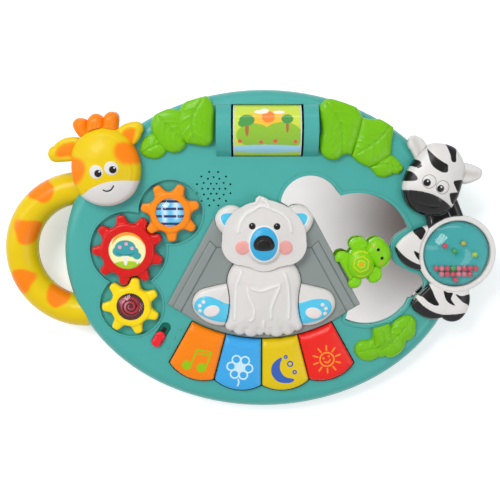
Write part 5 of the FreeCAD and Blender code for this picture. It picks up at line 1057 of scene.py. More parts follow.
picture_paint = plastic(
    "picture_paint", (252, 240, 176),
    (("sky_arc", (250, 156, 40), 0.4), ("ground", (170, 205, 40), 0.4),
     ("trunk", (240, 236, 226), 0.3), ("crown", (58, 160, 164), 0.4),
     ("shade", (36, 128, 138), 0.3), ("fruit", (246, 160, 190), 0.3)),
    roughness=0.24, coat=0.12,
)
piece(
    "red_wheel_picture", "red_gear", ("gear_red_disc",), "picture_disc",
    relief(circle(RED_GEAR, PICTURE_RADIUS), SEAT_HEIGHT, pillow(7.3, 7.8, 0.5, 10), picture_paint,
           {"sky_arc": without(on_red((1.0, 4.0, 14.0, 14.5, 0)), on_red((1.0, 0.5, 14.5, 13.0, 0))),
            "ground": on_red((0, -19.0, 19.0, 10.0, 0)),
            "trunk": on_red((-1.5, -7.5, 1.9, 5.5, 0), (8.6, -8.5, 1.2, 3.2, 0)),
            "crown": on_red((-1.5, 2.5, 9.2, 6.8, 0), (-7.0, -0.6, 5.6, 4.6, 0), (4.4, -0.8, 5.8, 4.6, 0),
                            (8.6, -4.4, 3.6, 3.2, 0)),
            "shade": without(on_red((-1.5, -1.2, 8.0, 3.2, 0)), on_red((-1.5, 0.2, 8.6, 3.4, 0))),
            "fruit": on_red((-6.2, 3.2, 1.6, 1.6, 0), (-0.6, 6.0, 1.5, 1.5, 0), (4.4, 2.2, 1.6, 1.6, 0))},
           spacing=0.5),
)
clear_lens = clear("clear_lens", (0.97, 0.99, 1.0, 1.0))
BAR_PITCH = 6.5
BAR_HALF = 1.1
SPIRAL_PITCH = 3.3
SPIRAL_HALF = 0.75


def stripes(points):
    """Four level bars, the middle two with short gaps near their ends."""
    x, y = (points - np.array(ORANGE_GEAR)).T
    bar = BAR_HALF - abs(y % BAR_PITCH - BAR_PITCH / 2)
    broken = np.minimum(abs(x + 6.6 + 0.1 * y) - 0.8, abs(x - 6.0) - 0.5)
    return np.minimum(bar, np.where(abs(y) < BAR_PITCH, broken, bar))


def spiral(points):
    """A band that winds out from the centre."""
    x, y = (points - np.array(YELLOW_GEAR)).T
    wound = np.hypot(x, y) - SPIRAL_PITCH * np.arctan2(y, x) / math.tau
    return SPIRAL_HALF - abs(wound % SPIRAL_PITCH - SPIRAL_PITCH / 2)


# In each lens print the light layer is a painted highlight: the glint of the clear lens painted onto the
# print
stripe_paint = plastic(
    "stripe_paint", (104, 196, 236),
    (("light", (222, 240, 250), 2.5), ("stripes", NAVY, 0.3)), roughness=0.3,
)
# Its light layer is a painted highlight, a pink glint at the left of the lens
spiral_paint = plastic(
    "spiral_paint", (74, 6, 14),
    (("ground", (196, 14, 40), 0.6), ("light", (236, 120, 136), 3.2),
     ("spiral", (24, 4, 8), 0.3), ("middle", (96, 4, 18), 0.3)),
    roughness=0.3,
)
for name, body, node_name, slot, paint, centre, masks in (
    ("orange_wheel_lens", "orange_gear", "gear_orange_lens", "lens_print", stripe_paint, ORANGE_GEAR,
     # painted highlight: two upright glints across the stripes
     {"light": ellipses((ORANGE_GEAR[0] + 5.2, ORANGE_GEAR[1] + 5, 2.6, 11.0, 0),
                        (ORANGE_GEAR[0] - 4.6, ORANGE_GEAR[1], 2.0, 12.0, 0)), "stripes": stripes}),
    ("yellow_wheel_lens", "yellow_gear", "gear_yellow_lens", "lens_print", spiral_paint, YELLOW_GEAR,
     {"ground": spots(YELLOW_GEAR, radius=8.8),
      # painted highlight: a pink glint at the left
      "light": ellipses((YELLOW_GEAR[0] - 4.6, YELLOW_GEAR[1] + 2.5, 3.2, 5.0, 30)),
      "spiral": both(spiral, spots(YELLOW_GEAR, radius=8.3)),
      "middle": spots(YELLOW_GEAR, radius=1.8)}),
):
    piece(
        name, body, (node_name,), slot,
        relief(circle(centre, LENS_PRINT_RADIUS), SEAT_HEIGHT, flat(LENS_PRINT_TOP), paint, masks,
               spacing=0.32),
        domed(centre, LENS_RADIUS, LENS_BOTTOM, LENS_RIM, LENS_TOP, clear_lens),
    )

# Picture roller: a printed sleeve on its drum

SLEEVE_RADIUS = 24.0
SLEEVE_WALL = 1.2
SLEEVE_LEFT = -24.7
SLEEVE_LENGTH = 56.0
ROLLER_Y = 107.7
ROLLER_Z = -11.7
PICTURE_STEP = math.tau * SLEEVE_RADIUS / 3


def sleeve(material, fields, spacing=0.55):
    """A tube along the board, whose picture is drawn along it and round it."""
    around = math.ceil(math.tau * SLEEVE_RADIUS / spacing)
    along = math.ceil(SLEEVE_LENGTH / spacing)
    angles = np.arange(around) * math.tau / around
    xs = SLEEVE_LEFT + np.arange(along + 1) * SLEEVE_LENGTH / along
    grid_x, grid_a = np.meshgrid(xs, angles, indexing="ij")
    layers = []
    for radius in (SLEEVE_RADIUS, SLEEVE_RADIUS - SLEEVE_WALL):
        layers.append(np.column_stack((
            grid_x.ravel(), ROLLER_Y - radius * np.sin(grid_a).ravel(),
            ROLLER_Z + radius * np.cos(grid_a).ravel(),
        )))
    turn_up = ((-grid_a + math.pi) % math.tau - math.pi).ravel()
    drawn = np.column_stack((grid_x.ravel(), turn_up * SLEEVE_RADIUS))
    total_points = (along + 1) * around
    faces = []
    for i in range(along):
        for k in range(around):
            a = i * around + k
            b = i * around + (k + 1) % around
            faces.append((a, b, b + around, a + around))
            faces.append((total_points + a, total_points + a + around, total_points + b + around,
                          total_points + b))
    for i in (0, along):
        for k in range(around):
            a = i * around + k
            b = i * around + (k + 1) % around
            ring = (a, a + total_points, b + total_points, b)
            faces.append(ring if i == 0 else ring[::-1])
    values = {name: np.tile(field(drawn), 2) for name, field in fields.items()}
    return shape(np.vstack(layers), faces, material, values)


def repeated(field):
    """The same drawing three times round the roller, and past both ends of the strip."""
    def drawn(points):
        return np.max([field(points - np.array((0.0, k * PICTURE_STEP))) for k in range(-2, 3)], axis=0)
    return drawn


def hills(points):
    """Two rounded hills over a level line."""
    first = 9.0 - np.hypot((points[:, 0] + 8) / 1.5, points[:, 1] + 4) * 0.9
    second = 11.0 - np.hypot((points[:, 0] - 16) / 1.4, points[:, 1] + 5) * 0.9
    return np.minimum(np.maximum(first, second), -abs(points[:, 1]) + 14)


roller_paint = plastic(
    "roller_paint", (200, 222, 60),
    (("warm", (250, 190, 40), 5.0), ("hills", (140, 190, 30), 0.5),
     ("trunk", (170, 100, 40), 0.3), ("crown", (60, 150, 60), 0.4),
     ("sun", (250, 130, 30), 0.4), ("cloud", (245, 240, 225), 0.5),
     ("water", (160, 215, 235), 0.5), ("flower", (225, 80, 60), 0.3)),
    roughness=0.2, coat=0.9,
)
piece(
    "roller_picture", "roller", ("roller_sleeve",), "roller_print",
    sleeve(roller_paint, {name: repeated(field) for name, field in {
        "warm": ellipses((4, 6, 20, 12, 0)),
        "hills": hills,
        "trunk": ellipses((-14, 2, 1.6, 7, 0), (20, 4, 1.3, 6, 0)),
        "crown": ellipses((-14, 9, 6.5, 5.0, 0), (-18, 6, 3.5, 3.0, 0), (20, 10, 5, 4.2, 0)),
        "sun": spots((4, 12), radius=5.5),
        "cloud": ellipses((-2, 17, 6, 2.2, 0), (1, 18.6, 3.5, 2.4, 0), (13, 16.6, 5, 1.8, 0)),
        "water": ellipses((3.3, -17, 40, 4.5, 0)),
        "flower": either(spots((-20, -9), (10, -9), radius=1.8), spots((-2, -10), (27, -9.5), radius=1.6)),
    }.items()}),
)

# Keys: a fan of four, each with its own line print

KEY_FAN = np.array((-1.0, 52.0))
KEY_PITCH = 14.5
KEY_GAP = 0.45
KEY_INNER = 128.0
KEY_CORNER = 171.0
KEY_OUTER = 176.8
KEY_BOTTOM = -5.0
SLOPE_START = 136.5
SLOPE_LENGTH = 8.0
SLOPE_DROP = 2.8
PRINT_MIDDLE = np.array((0.0, -157.0))
PRINT_SIZE = 1.25
PEN_WIDTH = 1.35


def key_outline(turn):
    left = -90 - KEY_PITCH / 2
    right = -90 + KEY_PITCH / 2
    loop = path(
        polar((0, 0), KEY_INNER, left), polar((0, 0), KEY_CORNER, left),
        ((0, -KEY_OUTER), polar((0, 0), KEY_CORNER, right)), polar((0, 0), KEY_INNER, right),
        ((0, -KEY_INNER), polar((0, 0), KEY_INNER, left)),
    )
    return KEY_FAN + rotated(grown(loop, -KEY_GAP), turn)


def key_height(points, inset):
    """Rounded edges, and a slope down to the end nearest the bear."""
    reach = np.linalg.norm(points - KEY_FAN, axis=1)
    slope = np.clip((SLOPE_START - reach) / SLOPE_LENGTH, 0, 1)
    return pillow(4.6, 6.0, 2.0, 9)(points, inset) - SLOPE_DROP * slope ** 1.6


def printed(points, turn, **settings):
    """A smooth line of a print, given from the middle of a key, in its place."""
    placed = KEY_FAN + rotated(np.array(points) * PRINT_SIZE + PRINT_MIDDLE, turn)
    return smooth_path(*placed, **settings)


def pen_lines(turn, *figures):
    """Closed or open lines of a key's print."""
    lines = []
    for closed, points in figures:
        line = printed(points, turn, closed=closed, step=0.6)
        lines.append(closed_line(line) if closed else line)
    return lines


def ring_of(x, y, radius, count=10):
    return [polar((x, y), radius, 360 * k / count) for k in range(count)]


note = (
    (True, ring_of(-5.0, -6.5, 2.9)), (True, ring_of(5.5, -4.5, 2.9)),
    (False, ((-2.3, -6.5), (-2.3, 0), (-2.3, 6.5))), (False, ((8.2, -4.5), (8.2, 2), (8.2, 8.5))),
    (False, ((-2.3, 6.5), (3, 7.8), (8.2, 8.5))), (False, ((-2.3, 4.0), (3, 5.3), (8.2, 6.0))),
)
flower = (
    (True, ring_of(0, 2, 2.6)),
    *[(True, ring_of(*polar((0, 2), 6.2, angle), 3.0)) for angle in range(0, 360, 60)],
    (False, ((0, -7.0), (0.6, -9.5), (0, -12))),
)
moon = (
    (True, ((-1, 9), (-7, 5), (-8.5, -1.5), (-5, -7.5), (2, -9.5), (6, -8), (0, -5.5), (-3, 0), (-2.6, 5))),
    *[(True, ring_of(*star, 6)) for star in ((5, 4, 1.8), (7.5, -2.5, 1.2), (2.5, 9.5, 1.0))],
)
sun = (
    (True, ring_of(0, 0, 5.0, 12)),
    *[(False, [polar((0, 0), reach, angle) for reach in (6.8, 8.4, 10.0)]) for angle in range(0, 360, 36)],
    (False, ((-2.2, -1.0), (0, -2.4), (2.2, -1.0))),
)
sun_eyes = (ring_of(-2, 1.6, 0.8), ring_of(2, 1.6, 0.8))
for index, (tone, base, ink, figure, filled) in enumerate((
    ("orange", (252, 132, 0), (150, 196, 0), note, (note[0][1], note[1][1])),
    ("blue", (62, 168, 232), (206, 236, 248), flower, (flower[0][1],)),
    ("yellow", (228, 196, 0), (56, 96, 182), moon, (moon[0][1],)),
    ("red", (240, 32, 22), (252, 150, 40), sun, sun_eyes),
)):
    turn = (index - 1.5) * KEY_PITCH
    key_paint = plastic(f"{tone}_key_paint", base, (("ink", ink, 0.2),), roughness=0.28, coat=0.12)
    ink_field = either(strokes(PEN_WIDTH, *pen_lines(turn, *figure)),
                       region(*[printed(part, turn) for part in filled]))
    piece(
        f"{tone}_key_cap", f"{tone}_key", (f"key_{index + 1}",), f"key_{tone}",
        relief(key_outline(turn), KEY_BOTTOM, key_height, key_paint, {"ink": ink_field}, spacing=0.6),
    )

# Rock panel behind the bear, with a stepped rail up each side

panel = path(
    (-43.0, 32.5), (-84.8, -44.3), (-74.2, -50.5), ((-1.0, -75.1), (75.8, -50.5)), (86.4, -44.3),
    (44.6, 32.5),
)
panel_gaps = (grown(bear_skull, 0.3), grown(bear_ear, 0.3), grown(mirrored(bear_ear), 0.3),
              grown(bear_body, 0.5), grown(bear_leg, 0.3), grown(mirrored(bear_leg), 0.3))
rail_edge = np.array(((-84.8, -44.3), (-43.0, 32.5)))


def beside(line, gap):
    """The line moved to its right."""
    way = line[1] - line[0]
    way = way / np.linalg.norm(way)
    return line + gap * np.array((way[1], -way[0]))


RAIL_TOP = (-46.6, 12.7)
RAIL_INNER_TOP = (-40.6, 6.9)
RAIL_END = (-33.0, 6.0)
rail_outer = wire(tuple(beside(rail_edge, 5.3)[0]), RAIL_TOP)
rail_inner = wire(tuple(beside(rail_edge, 13.8)[0]), RAIL_INNER_TOP)
rail_lip = wire(RAIL_TOP, RAIL_INNER_TOP, RAIL_END)
rail_loop = np.vstack((rail_outer, rail_inner[::-1]))
rail_band = region(rail_loop, mirrored(rail_loop))
rail_marks = [line for drawn in (rail_outer, rail_inner, rail_lip) for line in (drawn, mirrored(drawn))]
foot_ribs = [
    np.array(((x, y), (x + 4.5, y + 2.4))) for x, y in ((68.5, -49.5), (70.0, -47.2), (71.5, -44.9))
]
# The line layer is painted shade: a darker line in each groove of the rails
panel_paint = plastic(
    "panel_paint", (138, 146, 143), (("line", (96, 103, 100), 0.45),), roughness=0.33, coat=0.08,
)
piece(
    "rock_slope", "housing", ("rock_panel",), "rock_grey",
    relief(
        panel, 0, total(
            pillow(2.4, 3.2, 0.8, 3), rise(rail_band, 1.1, 0.7), groove(0.7, 0.7, *rail_marks),
            ridge(0.7, 0.6, *foot_ribs),
        ),
        # painted shade in the rail grooves
        panel_paint, {"line": strokes(0.7, *rail_marks)}, cuts=panel_gaps, lines=rail_marks, spacing=0.8,
    ),
)

# Turtle, which slides beside the panel

turtle_paint = plastic(
    "turtle_paint", (128, 204, 0),
    (("hex", (206, 214, 20), 0.4), ("dot", (245, 160, 20), 0.6),
     ("cheek", (184, 178, 60), 1.2), ("eye", BLACK, 0.25)),
    roughness=0.28, coat=0.12,
)
UNDER_SHELL = 1.6
OVER_PANEL = 4.9
turtle_head = path(
    (2, 10), (6.2, 17), ((11.5, 21.8), (22.1, 17.5)), ((26.8, 8), (24.4, -0.9)), ((21, -4), (14, -4)),
    origin=TURTLE,
)
turtle_limbs = (
    path((-5, 10), ((-9.2, 18.3), (-3, 21.8)), ((3, 21.5), (6.7, 15)), (2, 8), origin=TURTLE),
    path((-10, 0.6), (-20.9, 0.6), ((-22, 6), (-17.9, 10)), ((-14, 10), (-10, 6)), origin=TURTLE),
    path((-4, -8), (-8.5, -15), ((-9.8, -20.5), (-4.5, -22.7)), ((0.6, -20), (1, -13)), origin=TURTLE),
    path((5, -8), (8.1, -17.3), ((15, -17.5), (19.4, -7.8)), ((18, -4.6), (12, -3)), origin=TURTLE),
)
hex_cells = [
    np.array([polar(TURTLE, size, angle) for angle in angles]) for size, angles in (
        (3.4, range(20, 440, 60)), (7.2, range(20, 440, 60)), (10.9, range(60, 140, 8)),
        (11.2, range(255, 345, 8)),
    )
]
shell_seams = [
    np.array([polar(TURTLE, size, angle) for size in (7.2, 11.8)]) for angle in range(20, 380, 60)
]
turtle_side = path((64.5, -2.0), (76.5, -22.5), (84, -14), (76, 2), (70, 3))
turtle_eyes = ((TURTLE[0] + 14.3, TURTLE[1] + 12.6), (TURTLE[0] + 17.7, TURTLE[1] + 5.2))
limb_bottoms = (UNDER_SHELL, OVER_PANEL, OVER_PANEL, UNDER_SHELL)
limb_seams = (((-2, 3), (2, -3)), ((3, 0), (-3, 0)), ((0, 3), (0, -3)), ((2, -3), (-2, 3)))
piece(
    "turtle_figure", "turtle_slider", ("turtle",), "turtle_green",
    relief(circle(TURTLE, 12.6, 14.8), UNDER_SHELL,
           total(mound(TURTLE, 12.7, 14.9, OVER_PANEL, 13.4), ridge(0.45, 0.7, *hex_cells),
                 groove(0.45, 0.5, *shell_seams)), turtle_paint,
           {"hex": strokes(1.1, *hex_cells), "dot": spots(TURTLE, radius=1.7)}, spacing=0.6),
    relief(turtle_side, OVER_PANEL, pillow(6.0, 7.5, 1.2, 5), turtle_paint, spacing=1.0),
    relief(turtle_head, UNDER_SHELL,
           total(pillow(7.5, 11.5, 3, 9), rise(spots(*turtle_eyes, radius=1.7), 0.4, 0.4)), turtle_paint,
           {"eye": spots(*turtle_eyes, radius=1.45),
            "cheek": spots((TURTLE[0] + 10.5, TURTLE[1] + 15.5), (TURTLE[0] + 17.6, TURTLE[1] + 0.8),
                           radius=1.6)},
           spacing=0.7),
    *[relief(limb, low, total(pillow(6.0, 7.6, 1.6, 4), ridge(0.5, 0.6, limb.mean(0) + seam)), turtle_paint,
             spacing=0.9)
      for limb, low, seam in zip(turtle_limbs, limb_bottoms, limb_seams)],
)

# Leaves on the board's shoulder: small, middle and large in each cluster

leaf_paint = plastic("leaf_paint", LIME, roughness=0.3, coat=0.1, mottle=0.06)
board_edge = circle((0.0, 0.0), BOARD_HALF[0], BOARD_HALF[1])
MIRROR_RIM = 3.15
LEAF_BOTTOM = -12.0
mirror_edge = path(
    (15.5, 46), ((28.5, 65.6), (63.6, 56.5)), (68, 51.7), ((101, 50.2), (127, 23.5)), (118.9, 18.8),
    ((111.6, 4.5), (121.5, -11)), ((129, -15), (137.3, -17.5)), ((142.5, -25.5), (129.5, -39.2)),
    (126.8, -45.3), ((103, -62), (73.6, -58.9)), (76.5, -48.2), (81.1, -43.4), (40.7, 30.8),
)
mirror_lip = grown(mirror_edge, MIRROR_RIM)
LEAVES = {
    "left": (
        (path((-106, 90), ((-102, 101), (-92, 106)), (-82, 94), ((-88, 84.8), (-97, 83.9)),
              ((-103, 86), (-106, 90))), ((-103, 89), (-95, 94), (-84, 97)), 5.0),
        (path((-91, 122.8), ((-96, 112), (-92, 101)), ((-88.5, 95), (-83.8, 91)), ((-75, 88.8), (-66, 96)),
              (-66, 122), ((-80, 126), (-91, 122.8))), ((-88, 119), (-80, 110), (-66, 97)), 6.5),
        (path((-72, 122.3), ((-68.5, 129.5), (-60.2, 134)), ((-53, 137), (-47.1, 136)),
              ((-43, 129), (-41.6, 122)), (-42.5, 100), ((-46.5, 95.5), (-52, 94.5)),
              ((-58, 95.6), (-65, 96.5)), ((-73.5, 108), (-72, 122.3))),
         ((-52, 133), (-60, 118), (-58, 99)), 8.0),
    ),
    "right": (
        (path((108, 88), ((116, 83), (121, 76)), ((118, 71.5), (111.6, 70.7)), ((103, 67.6), (97.6, 69.2)),
              (91.2, 76.4), (100, 84)), ((96, 79), (106, 79), (118, 76)), 5.0),
        (path((83, 119.4), ((92, 117.4), (100.4, 117.7)), ((108.5, 114), (111.2, 109.3)),
              ((110.2, 98), (109.5, 87)), ((101, 80.5), (91.2, 76.4)), ((83, 80), (75.3, 86.8))),
         ((108, 112), (97, 99), (80, 88)), 6.5),
        (path((47.6, 124.5), ((49.5, 131), (54.8, 134.3)), ((65.6, 133.5), (78.6, 128)), (84.5, 119),
              ((81, 103), (75.3, 86.8)), ((70, 87.5), (65, 84.2)), ((57, 83), (49.9, 88.3)),
              ((47.8, 95), (49.3, 106)), (49.3, 110.3)), ((54, 130), (66, 112), (68, 88)), 8.0),
    ),
    "lower": (
        (path((82.7, -89.3), ((84.5, -80), (92.9, -77.5)), ((97.5, -75), (98.2, -71.8)), (112, -82),
              ((111.5, -91), (103.8, -93)), ((95, -97), (82.7, -89.3))),
         ((86, -88), (96, -85), (108, -84)), 5.0),
        (path((113.9, -64.4), ((120, -57.5), (129.5, -53.9)), ((134, -56), (136, -65)),
              ((135.5, -72), (128, -77.9)), ((124, -87.8), (111.6, -93.5)), (100, -84)),
         ((131, -57), (122, -70), (106, -86)), 6.5),
        (path((98, -72), ((99, -65), (102.5, -61.6)), ((108, -60), (113.9, -64.4)), (118, -80), (100, -84)),
         ((104, -64), (107, -72), (110, -82)), 8.0),
    ),
}


def leaf_ribs(midrib, reach=13.0, count=4):
    """Side ribs that leave the midrib at a slant."""
    ribs = []
    whole = curve(*midrib)
    for k in range(1, count + 1):
        at = int(len(whole) * k / (count + 1))
        way = whole[min(at + 3, len(whole) - 1)] - whole[at]
        way = way / (np.linalg.norm(way) + 1e-9)
        for side in (-1, 1):
            out = way * 0.75 + side * np.array((-way[1], way[0]))
            out = out / np.linalg.norm(out)
            halfway = whole[at] + out * reach * 0.5 + way * 0.6
            ribs.append(curve(whole[at], halfway, whole[at] + out * reach + way * 2.4))
    return whole, ribs


for side, leaves in LEAVES.items():
    solids = []
    for outline, midrib, top in leaves:
        spine, ribs = leaf_ribs(midrib)
        solids.append(relief(
            outline, LEAF_BOTTOM,
            total(pillow(top - 2.6, top, 2.2, 9), groove(1.1, 0.8, spine), ridge(0.5, 0.7, *ribs)),
            leaf_paint, within=(board_edge,), cuts=(mirror_lip,), lines=(spine,), spacing=1.0,
        ))
    piece(f"foliage_{side}", "housing", (f"leaves_{side}",), "leaf_green", *solids)

# Slide switch knob, at the lower end of its travel

SWITCH = np.array((-91.0, -72.7))
SWITCH_DIRECTION = 58.4
SWITCH_TRAVEL = 9.0
KNOB_HALF = 3.15
KNOB_RADIUS = 4.45
KNOB_BOTTOM = -0.8
STEM_TOP = -0.5
STEM_BOTTOM = -6.4
knob_centre = SWITCH + rotated(((-SWITCH_TRAVEL / 2, 0),), SWITCH_DIRECTION)[0]
knob_loop = knob_centre + rotated([
    polar((end, 0), KNOB_RADIUS, angle)
    for end, first in ((KNOB_HALF, -90), (-KNOB_HALF, 90))
    for angle in np.linspace(first, first + 180, 16)
], SWITCH_DIRECTION)
knob_paint = plastic("knob_paint", (236, 30, 44), roughness=0.3, coat=0.12)
piece(
    "switch_pill", "slide_switch", ("switch_knob",), "knob_red",
    relief(knob_loop, KNOB_BOTTOM, pillow(3.1, 3.7, 1.3, 3), knob_paint, spacing=0.6),
    relief(knob_centre + np.array(((-1.2, -1.2), (1.2, -1.2), (1.2, 1.2), (-1.2, 1.2))), STEM_BOTTOM,
           flat(STEM_TOP), knob_paint, spacing=2.0),
)

# Beads under the clear dome: four apart, and the rest in rows at the low side

BEAD_RADIUS = 2.4
BEAD_HEIGHT = 4.75
BEAD_PITCH = 4.95
BEAD_ROW_PITCH = 5.1
PILE_TOP = -9.0
DOME_RADIUS = 28.7
DOME_WALL = 1.5
BEAD_MARGIN = 1.6
bead_paints = {
    name: plastic(name, tone, roughness=0.25, coat=0.12) for name, tone in (
        ("bead_red", (222, 70, 90)), ("bead_pink", (235, 120, 140)), ("bead_green", (60, 170, 80)),
        ("bead_lime", (180, 205, 60)), ("bead_gold", (205, 170, 60)),
    )
}


def bead(x, y, name, rings=10, segments=16):
    turns = [math.pi * ring / rings for ring in range(1, rings)]
    profile = [(BEAD_RADIUS * math.sin(turn), BEAD_HEIGHT + BEAD_RADIUS * math.cos(turn)) for turn in turns]
    return capped((ZEBRA[0] + x, ZEBRA[1] + y), BEAD_HEIGHT + BEAD_RADIUS, profile,
                  BEAD_HEIGHT - BEAD_RADIUS, bead_paints[name], segments)


bead_shapes = [
    bead(-10.4, 7.0, "bead_red"), bead(5.6, 9.3, "bead_gold"), bead(-1.8, 2.2, "bead_green"),
    bead(16.0, -0.8, "bead_lime"),
]
reach = DOME_RADIUS - DOME_WALL - BEAD_RADIUS - BEAD_MARGIN
row = 0
while -reach + row * BEAD_ROW_PITCH <= PILE_TOP:
    y = -reach + row * BEAD_ROW_PITCH
    half = math.sqrt(reach * reach - y * y)
    count = int(2 * half / BEAD_PITCH) + 1
    for k in range(count):
        x = (k - (count - 1) / 2) * BEAD_PITCH
        name = random.choice(("bead_red", "bead_red", "bead_pink", "bead_red", "bead_pink", "bead_green"))
        bead_shapes.append(bead(x, y, name))
    row += 1
piece("bead_pile", "bead_spinner", ("beads",), "bead_mix", *bead_shapes)

# Finishes of the solids that keep their CAD shape

SOLID_EDGE = 0.0003
shell_paint = plastic("shell_paint", TEAL, roughness=0.33, coat=0.25, mottle=0.035, rounded=0.0006)
steel = plastic("steel", (176, 176, 178), roughness=0.32, metallic=1.0, mottle=0.04)
dress(shell_paint, "front_shell", "back_shell", "battery_door")
dress(steel, "battery_door_screw", "housing_screws", "inner_screws", "gear_screws", "bead_retainer",
      "key_hinge_pins")
dress(plastic("contact_metal", (205, 204, 200), roughness=0.22, metallic=1.0), "battery_contacts")
dress(clear("clear_dome", (0.95, 0.985, 0.98, 1.0)), "bead_dome")
for name, tone, finish, solids in (
    ("rubber", (70, 72, 74), {"roughness": 0.8, "mottle": 0.1, "grain": 0.00005},
     ("rubber_feet", "contact_pads")),
    ("cell_wrap", (88, 96, 108), {"roughness": 0.35, "coat": 0.1}, ("batteries",)),
    ("solder_mask", (20, 98, 58), {"roughness": 0.45, "mottle": 0.12}, ("circuit_board",)),
    ("lamp_cap", (236, 234, 224), {"roughness": 0.2, "coat": 0.15}, ("leds",)),
    ("speaker_cone", (40, 40, 42), {"roughness": 0.7, "mottle": 0.12}, ("speaker",)),
    ("inner_grey", (150, 152, 152), {"roughness": 0.5},
     ("speaker_clamp", "bear_plunger", "roller_brackets", "turtle_carriage", "switch_body")),
    ("drum_white", (212, 220, 226), {"roughness": 0.35}, ("roller_drum",)),
    ("switch_green", (0, 100, 86), {"roughness": 0.38}, ("switch_plate",)),
    ("spinner_teal", (52, 170, 172), {"roughness": 0.3, "coat": 0.1}, ("bead_base",)),
):
    dress(plastic(name, tone, rounded=SOLID_EDGE, **finish), *solids)

# Orange patches on the handle, as balls (x, y, z, radius) that cut its surface
handle_spots = (
    (-197.0, 57.0, -10.0, 13.0), (-207.0, 20.0, -8.0, 12.0), (-214.0, -24.0, -10.0, 12.0),
    (-183.0, -37.0, -8.0, 11.0), (-177.0, 62.0, -22.0, 9.0), (-224.0, 6.0, -26.0, 10.0),
)
handle_paint = plastic("handle_paint", YELLOW, ((handle_spots, ORANGE, 1.8),), roughness=0.3, coat=0.1,
                       rounded=0.0004)
dress(handle_paint, "handle_front", "handle_back")

mirror_film = bpy.data.materials.new("mirror_film")
tree = new_tree(mirror_film)
place = node(tree, "TexCoord").outputs["Object"]
haze = node(tree, "TexNoise", {"Vector": place, "Scale": 45.0, "Detail": 3.0})
tone = mixed(tree, haze.outputs["Fac"], (0.80, 0.79, 0.78, 1.0), (0.88, 0.875, 0.87, 1.0))
wave = node(tree, "TexNoise", {"Vector": place, "Scale": 9.0, "Detail": 1.0})
bump = node(tree, "Bump", {"Height": wave.outputs["Fac"], "Distance": 0.0006, "Strength": 0.35})
film = node(tree, "BsdfPrincipled", {"Base Color": tone, "Metallic": 1.0, "Roughness": 0.07,
                                     "Normal": bump.outputs["Normal"]})
end_tree(tree, "OutputMaterial", film.outputs["BSDF"])
dress(mirror_film, "mirror")

# Floor, world, lamps and camera

FLOOR_HALF = 3.0
CARD_LEFT = -0.1
CARD_RIGHT = 0.75
CARD_FRONT = -0.9
CARD_BACK = 0.0
CARD_HEIGHT = 1.2
CARD_MIDDLE = (0.45, -0.28, CARD_HEIGHT)


def flat_card(name, left, right, front, back, height, material):
    """A level sheet of the studio, which isn't part of the object."""
    corners = [(left, front, height), (right, front, height), (right, back, height), (left, back, height)]
    mesh = bpy.data.meshes.new(name)
    mesh.from_pydata(corners, [], [(0, 1, 2, 3)])
    mesh.materials.append(material)
    card = bpy.data.objects.new(name, mesh)
    bpy.context.scene.collection.objects.link(card)
    return card


def shown_straight(tree):
    """1 for what the camera sees directly, in gloss or through clear plastic."""
    ray = node(tree, "LightPath")
    seen = node(tree, "Math", {0: ray.outputs["Is Camera Ray"], 1: ray.outputs["Is Glossy Ray"]},
                operation="MAXIMUM")
    seen = node(tree, "Math", {0: seen.outputs[0], 1: ray.outputs["Is Transmission Ray"]},
                operation="MAXIMUM")
    return seen.outputs[0]


floor_paint = bpy.data.materials.new("floor_paint")
tree = new_tree(floor_paint)
paper = node(tree, "BsdfDiffuse", {"Color": (0.86, 0.86, 0.86, 1.0), "Roughness": 0.6})
glow = node(tree, "Emission", {"Color": PURE_WHITE})
glow_share = node(tree, "Math", {0: shown_straight(tree), 1: 0.42}, operation="MULTIPLY")
tree.links.new(glow_share.outputs[0], glow.inputs["Strength"])
both_shaders = node(tree, "AddShader")
tree.links.new(paper.outputs["BSDF"], both_shaders.inputs[0])
tree.links.new(glow.outputs["Emission"], both_shaders.inputs[1])
end_tree(tree, "OutputMaterial", both_shaders.outputs["Shader"])
flat_card("floor", -FLOOR_HALF, FLOOR_HALF, -FLOOR_HALF, FLOOR_HALF, 0.0, floor_paint)

world = bpy.data.worlds.new("soft_room")
bpy.context.scene.world = world
tree = new_tree(world)
sky = node(tree, "Background", {"Color": (0.93, 0.96, 1.0, 1.0), "Strength": 0.44})
white = node(tree, "Background", {"Color": PURE_WHITE, "Strength": 1.0})
blend = node(tree, "MixShader", {"Fac": shown_straight(tree)})
tree.links.new(sky.outputs["Background"], blend.inputs[1])
tree.links.new(white.outputs["Background"], blend.inputs[2])
end_tree(tree, "OutputWorld", blend.outputs["Shader"])

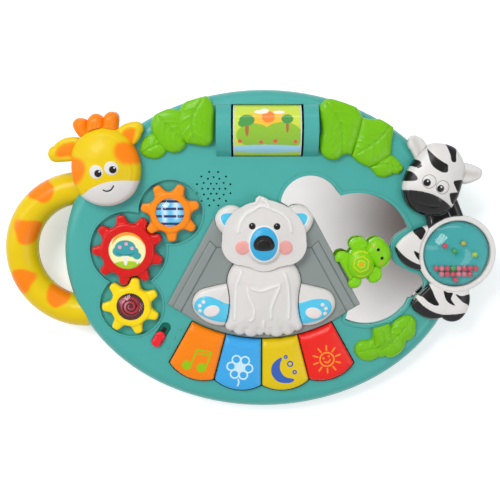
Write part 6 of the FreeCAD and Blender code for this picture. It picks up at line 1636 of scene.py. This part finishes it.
# The card is seen in gloss only, and gives the mirror the dark patch of the room above it
room_card = bpy.data.materials.new("room_card")
tree = new_tree(room_card)
place = node(tree, "TexCoord").outputs["Object"]
away = node(tree, "VectorMath", {0: place, 1: CARD_MIDDLE}, operation="SUBTRACT").outputs[0]
flat_away = node(tree, "VectorMath", {0: away, 1: (2.9, 2.6, 0.0)}, operation="MULTIPLY").outputs[0]
reach = node(tree, "VectorMath", {0: flat_away}, operation="LENGTH").outputs["Value"]
share = node(tree, "MapRange", {"Value": reach, "From Min": 0.1, "From Max": 1.05},
             interpolation_type="SMOOTHSTEP")
tone = mixed(tree, share.outputs["Result"], (0.11, 0.085, 0.075, 1.0), PURE_WHITE)
glow = node(tree, "Emission", {"Color": tone, "Strength": 1.0})
end_tree(tree, "OutputMaterial", glow.outputs["Emission"])
card = flat_card("room_card", CARD_LEFT, CARD_RIGHT, CARD_FRONT, CARD_BACK, CARD_HEIGHT, room_card)
card.visible_camera = False
card.visible_diffuse = False
card.visible_shadow = False


def lamp(name, place, aim, size, power):
    """A soft rectangular lamp, turned to its aim."""
    data = bpy.data.lights.new(name, "AREA")
    data.shape = "RECTANGLE"
    data.size, data.size_y = size
    data.energy = power
    made = bpy.data.objects.new(name, data)
    made.location = place
    way = Vector(aim) - Vector(place)
    made.rotation_euler = way.to_track_quat("-Z", "Y").to_euler()
    bpy.context.scene.collection.objects.link(made)


FACE_MIDDLE = (0.0, 0.0, 0.04)
lamp("key_lamp", (-0.55, 0.55, 1.25), FACE_MIDDLE, (0.7, 0.5), 9.6)
lamp("back_lamp", (0.0, 1.0, 0.8), (0.0, 0.1, 0.04), (1.2, 0.12), 1.2)
lamp("side_lamp", (-0.95, 0.05, 0.75), FACE_MIDDLE, (0.25, 0.9), 1.6)
lamp("fill_lamp", (0.8, -0.5, 1.2), FACE_MIDDLE, (0.9, 0.7), 4.8)

camera_data = bpy.data.cameras.new("photo_camera")
camera_data.lens = 53.18
camera_data.sensor_width = 36.0
camera = bpy.data.objects.new("photo_camera", camera_data)
camera.location = (0.00271, 0.0016135, 0.697)
bpy.context.scene.collection.objects.link(camera)
bpy.context.scene.camera = camera

bpy.context.scene.view_settings.view_transform = "Standard"
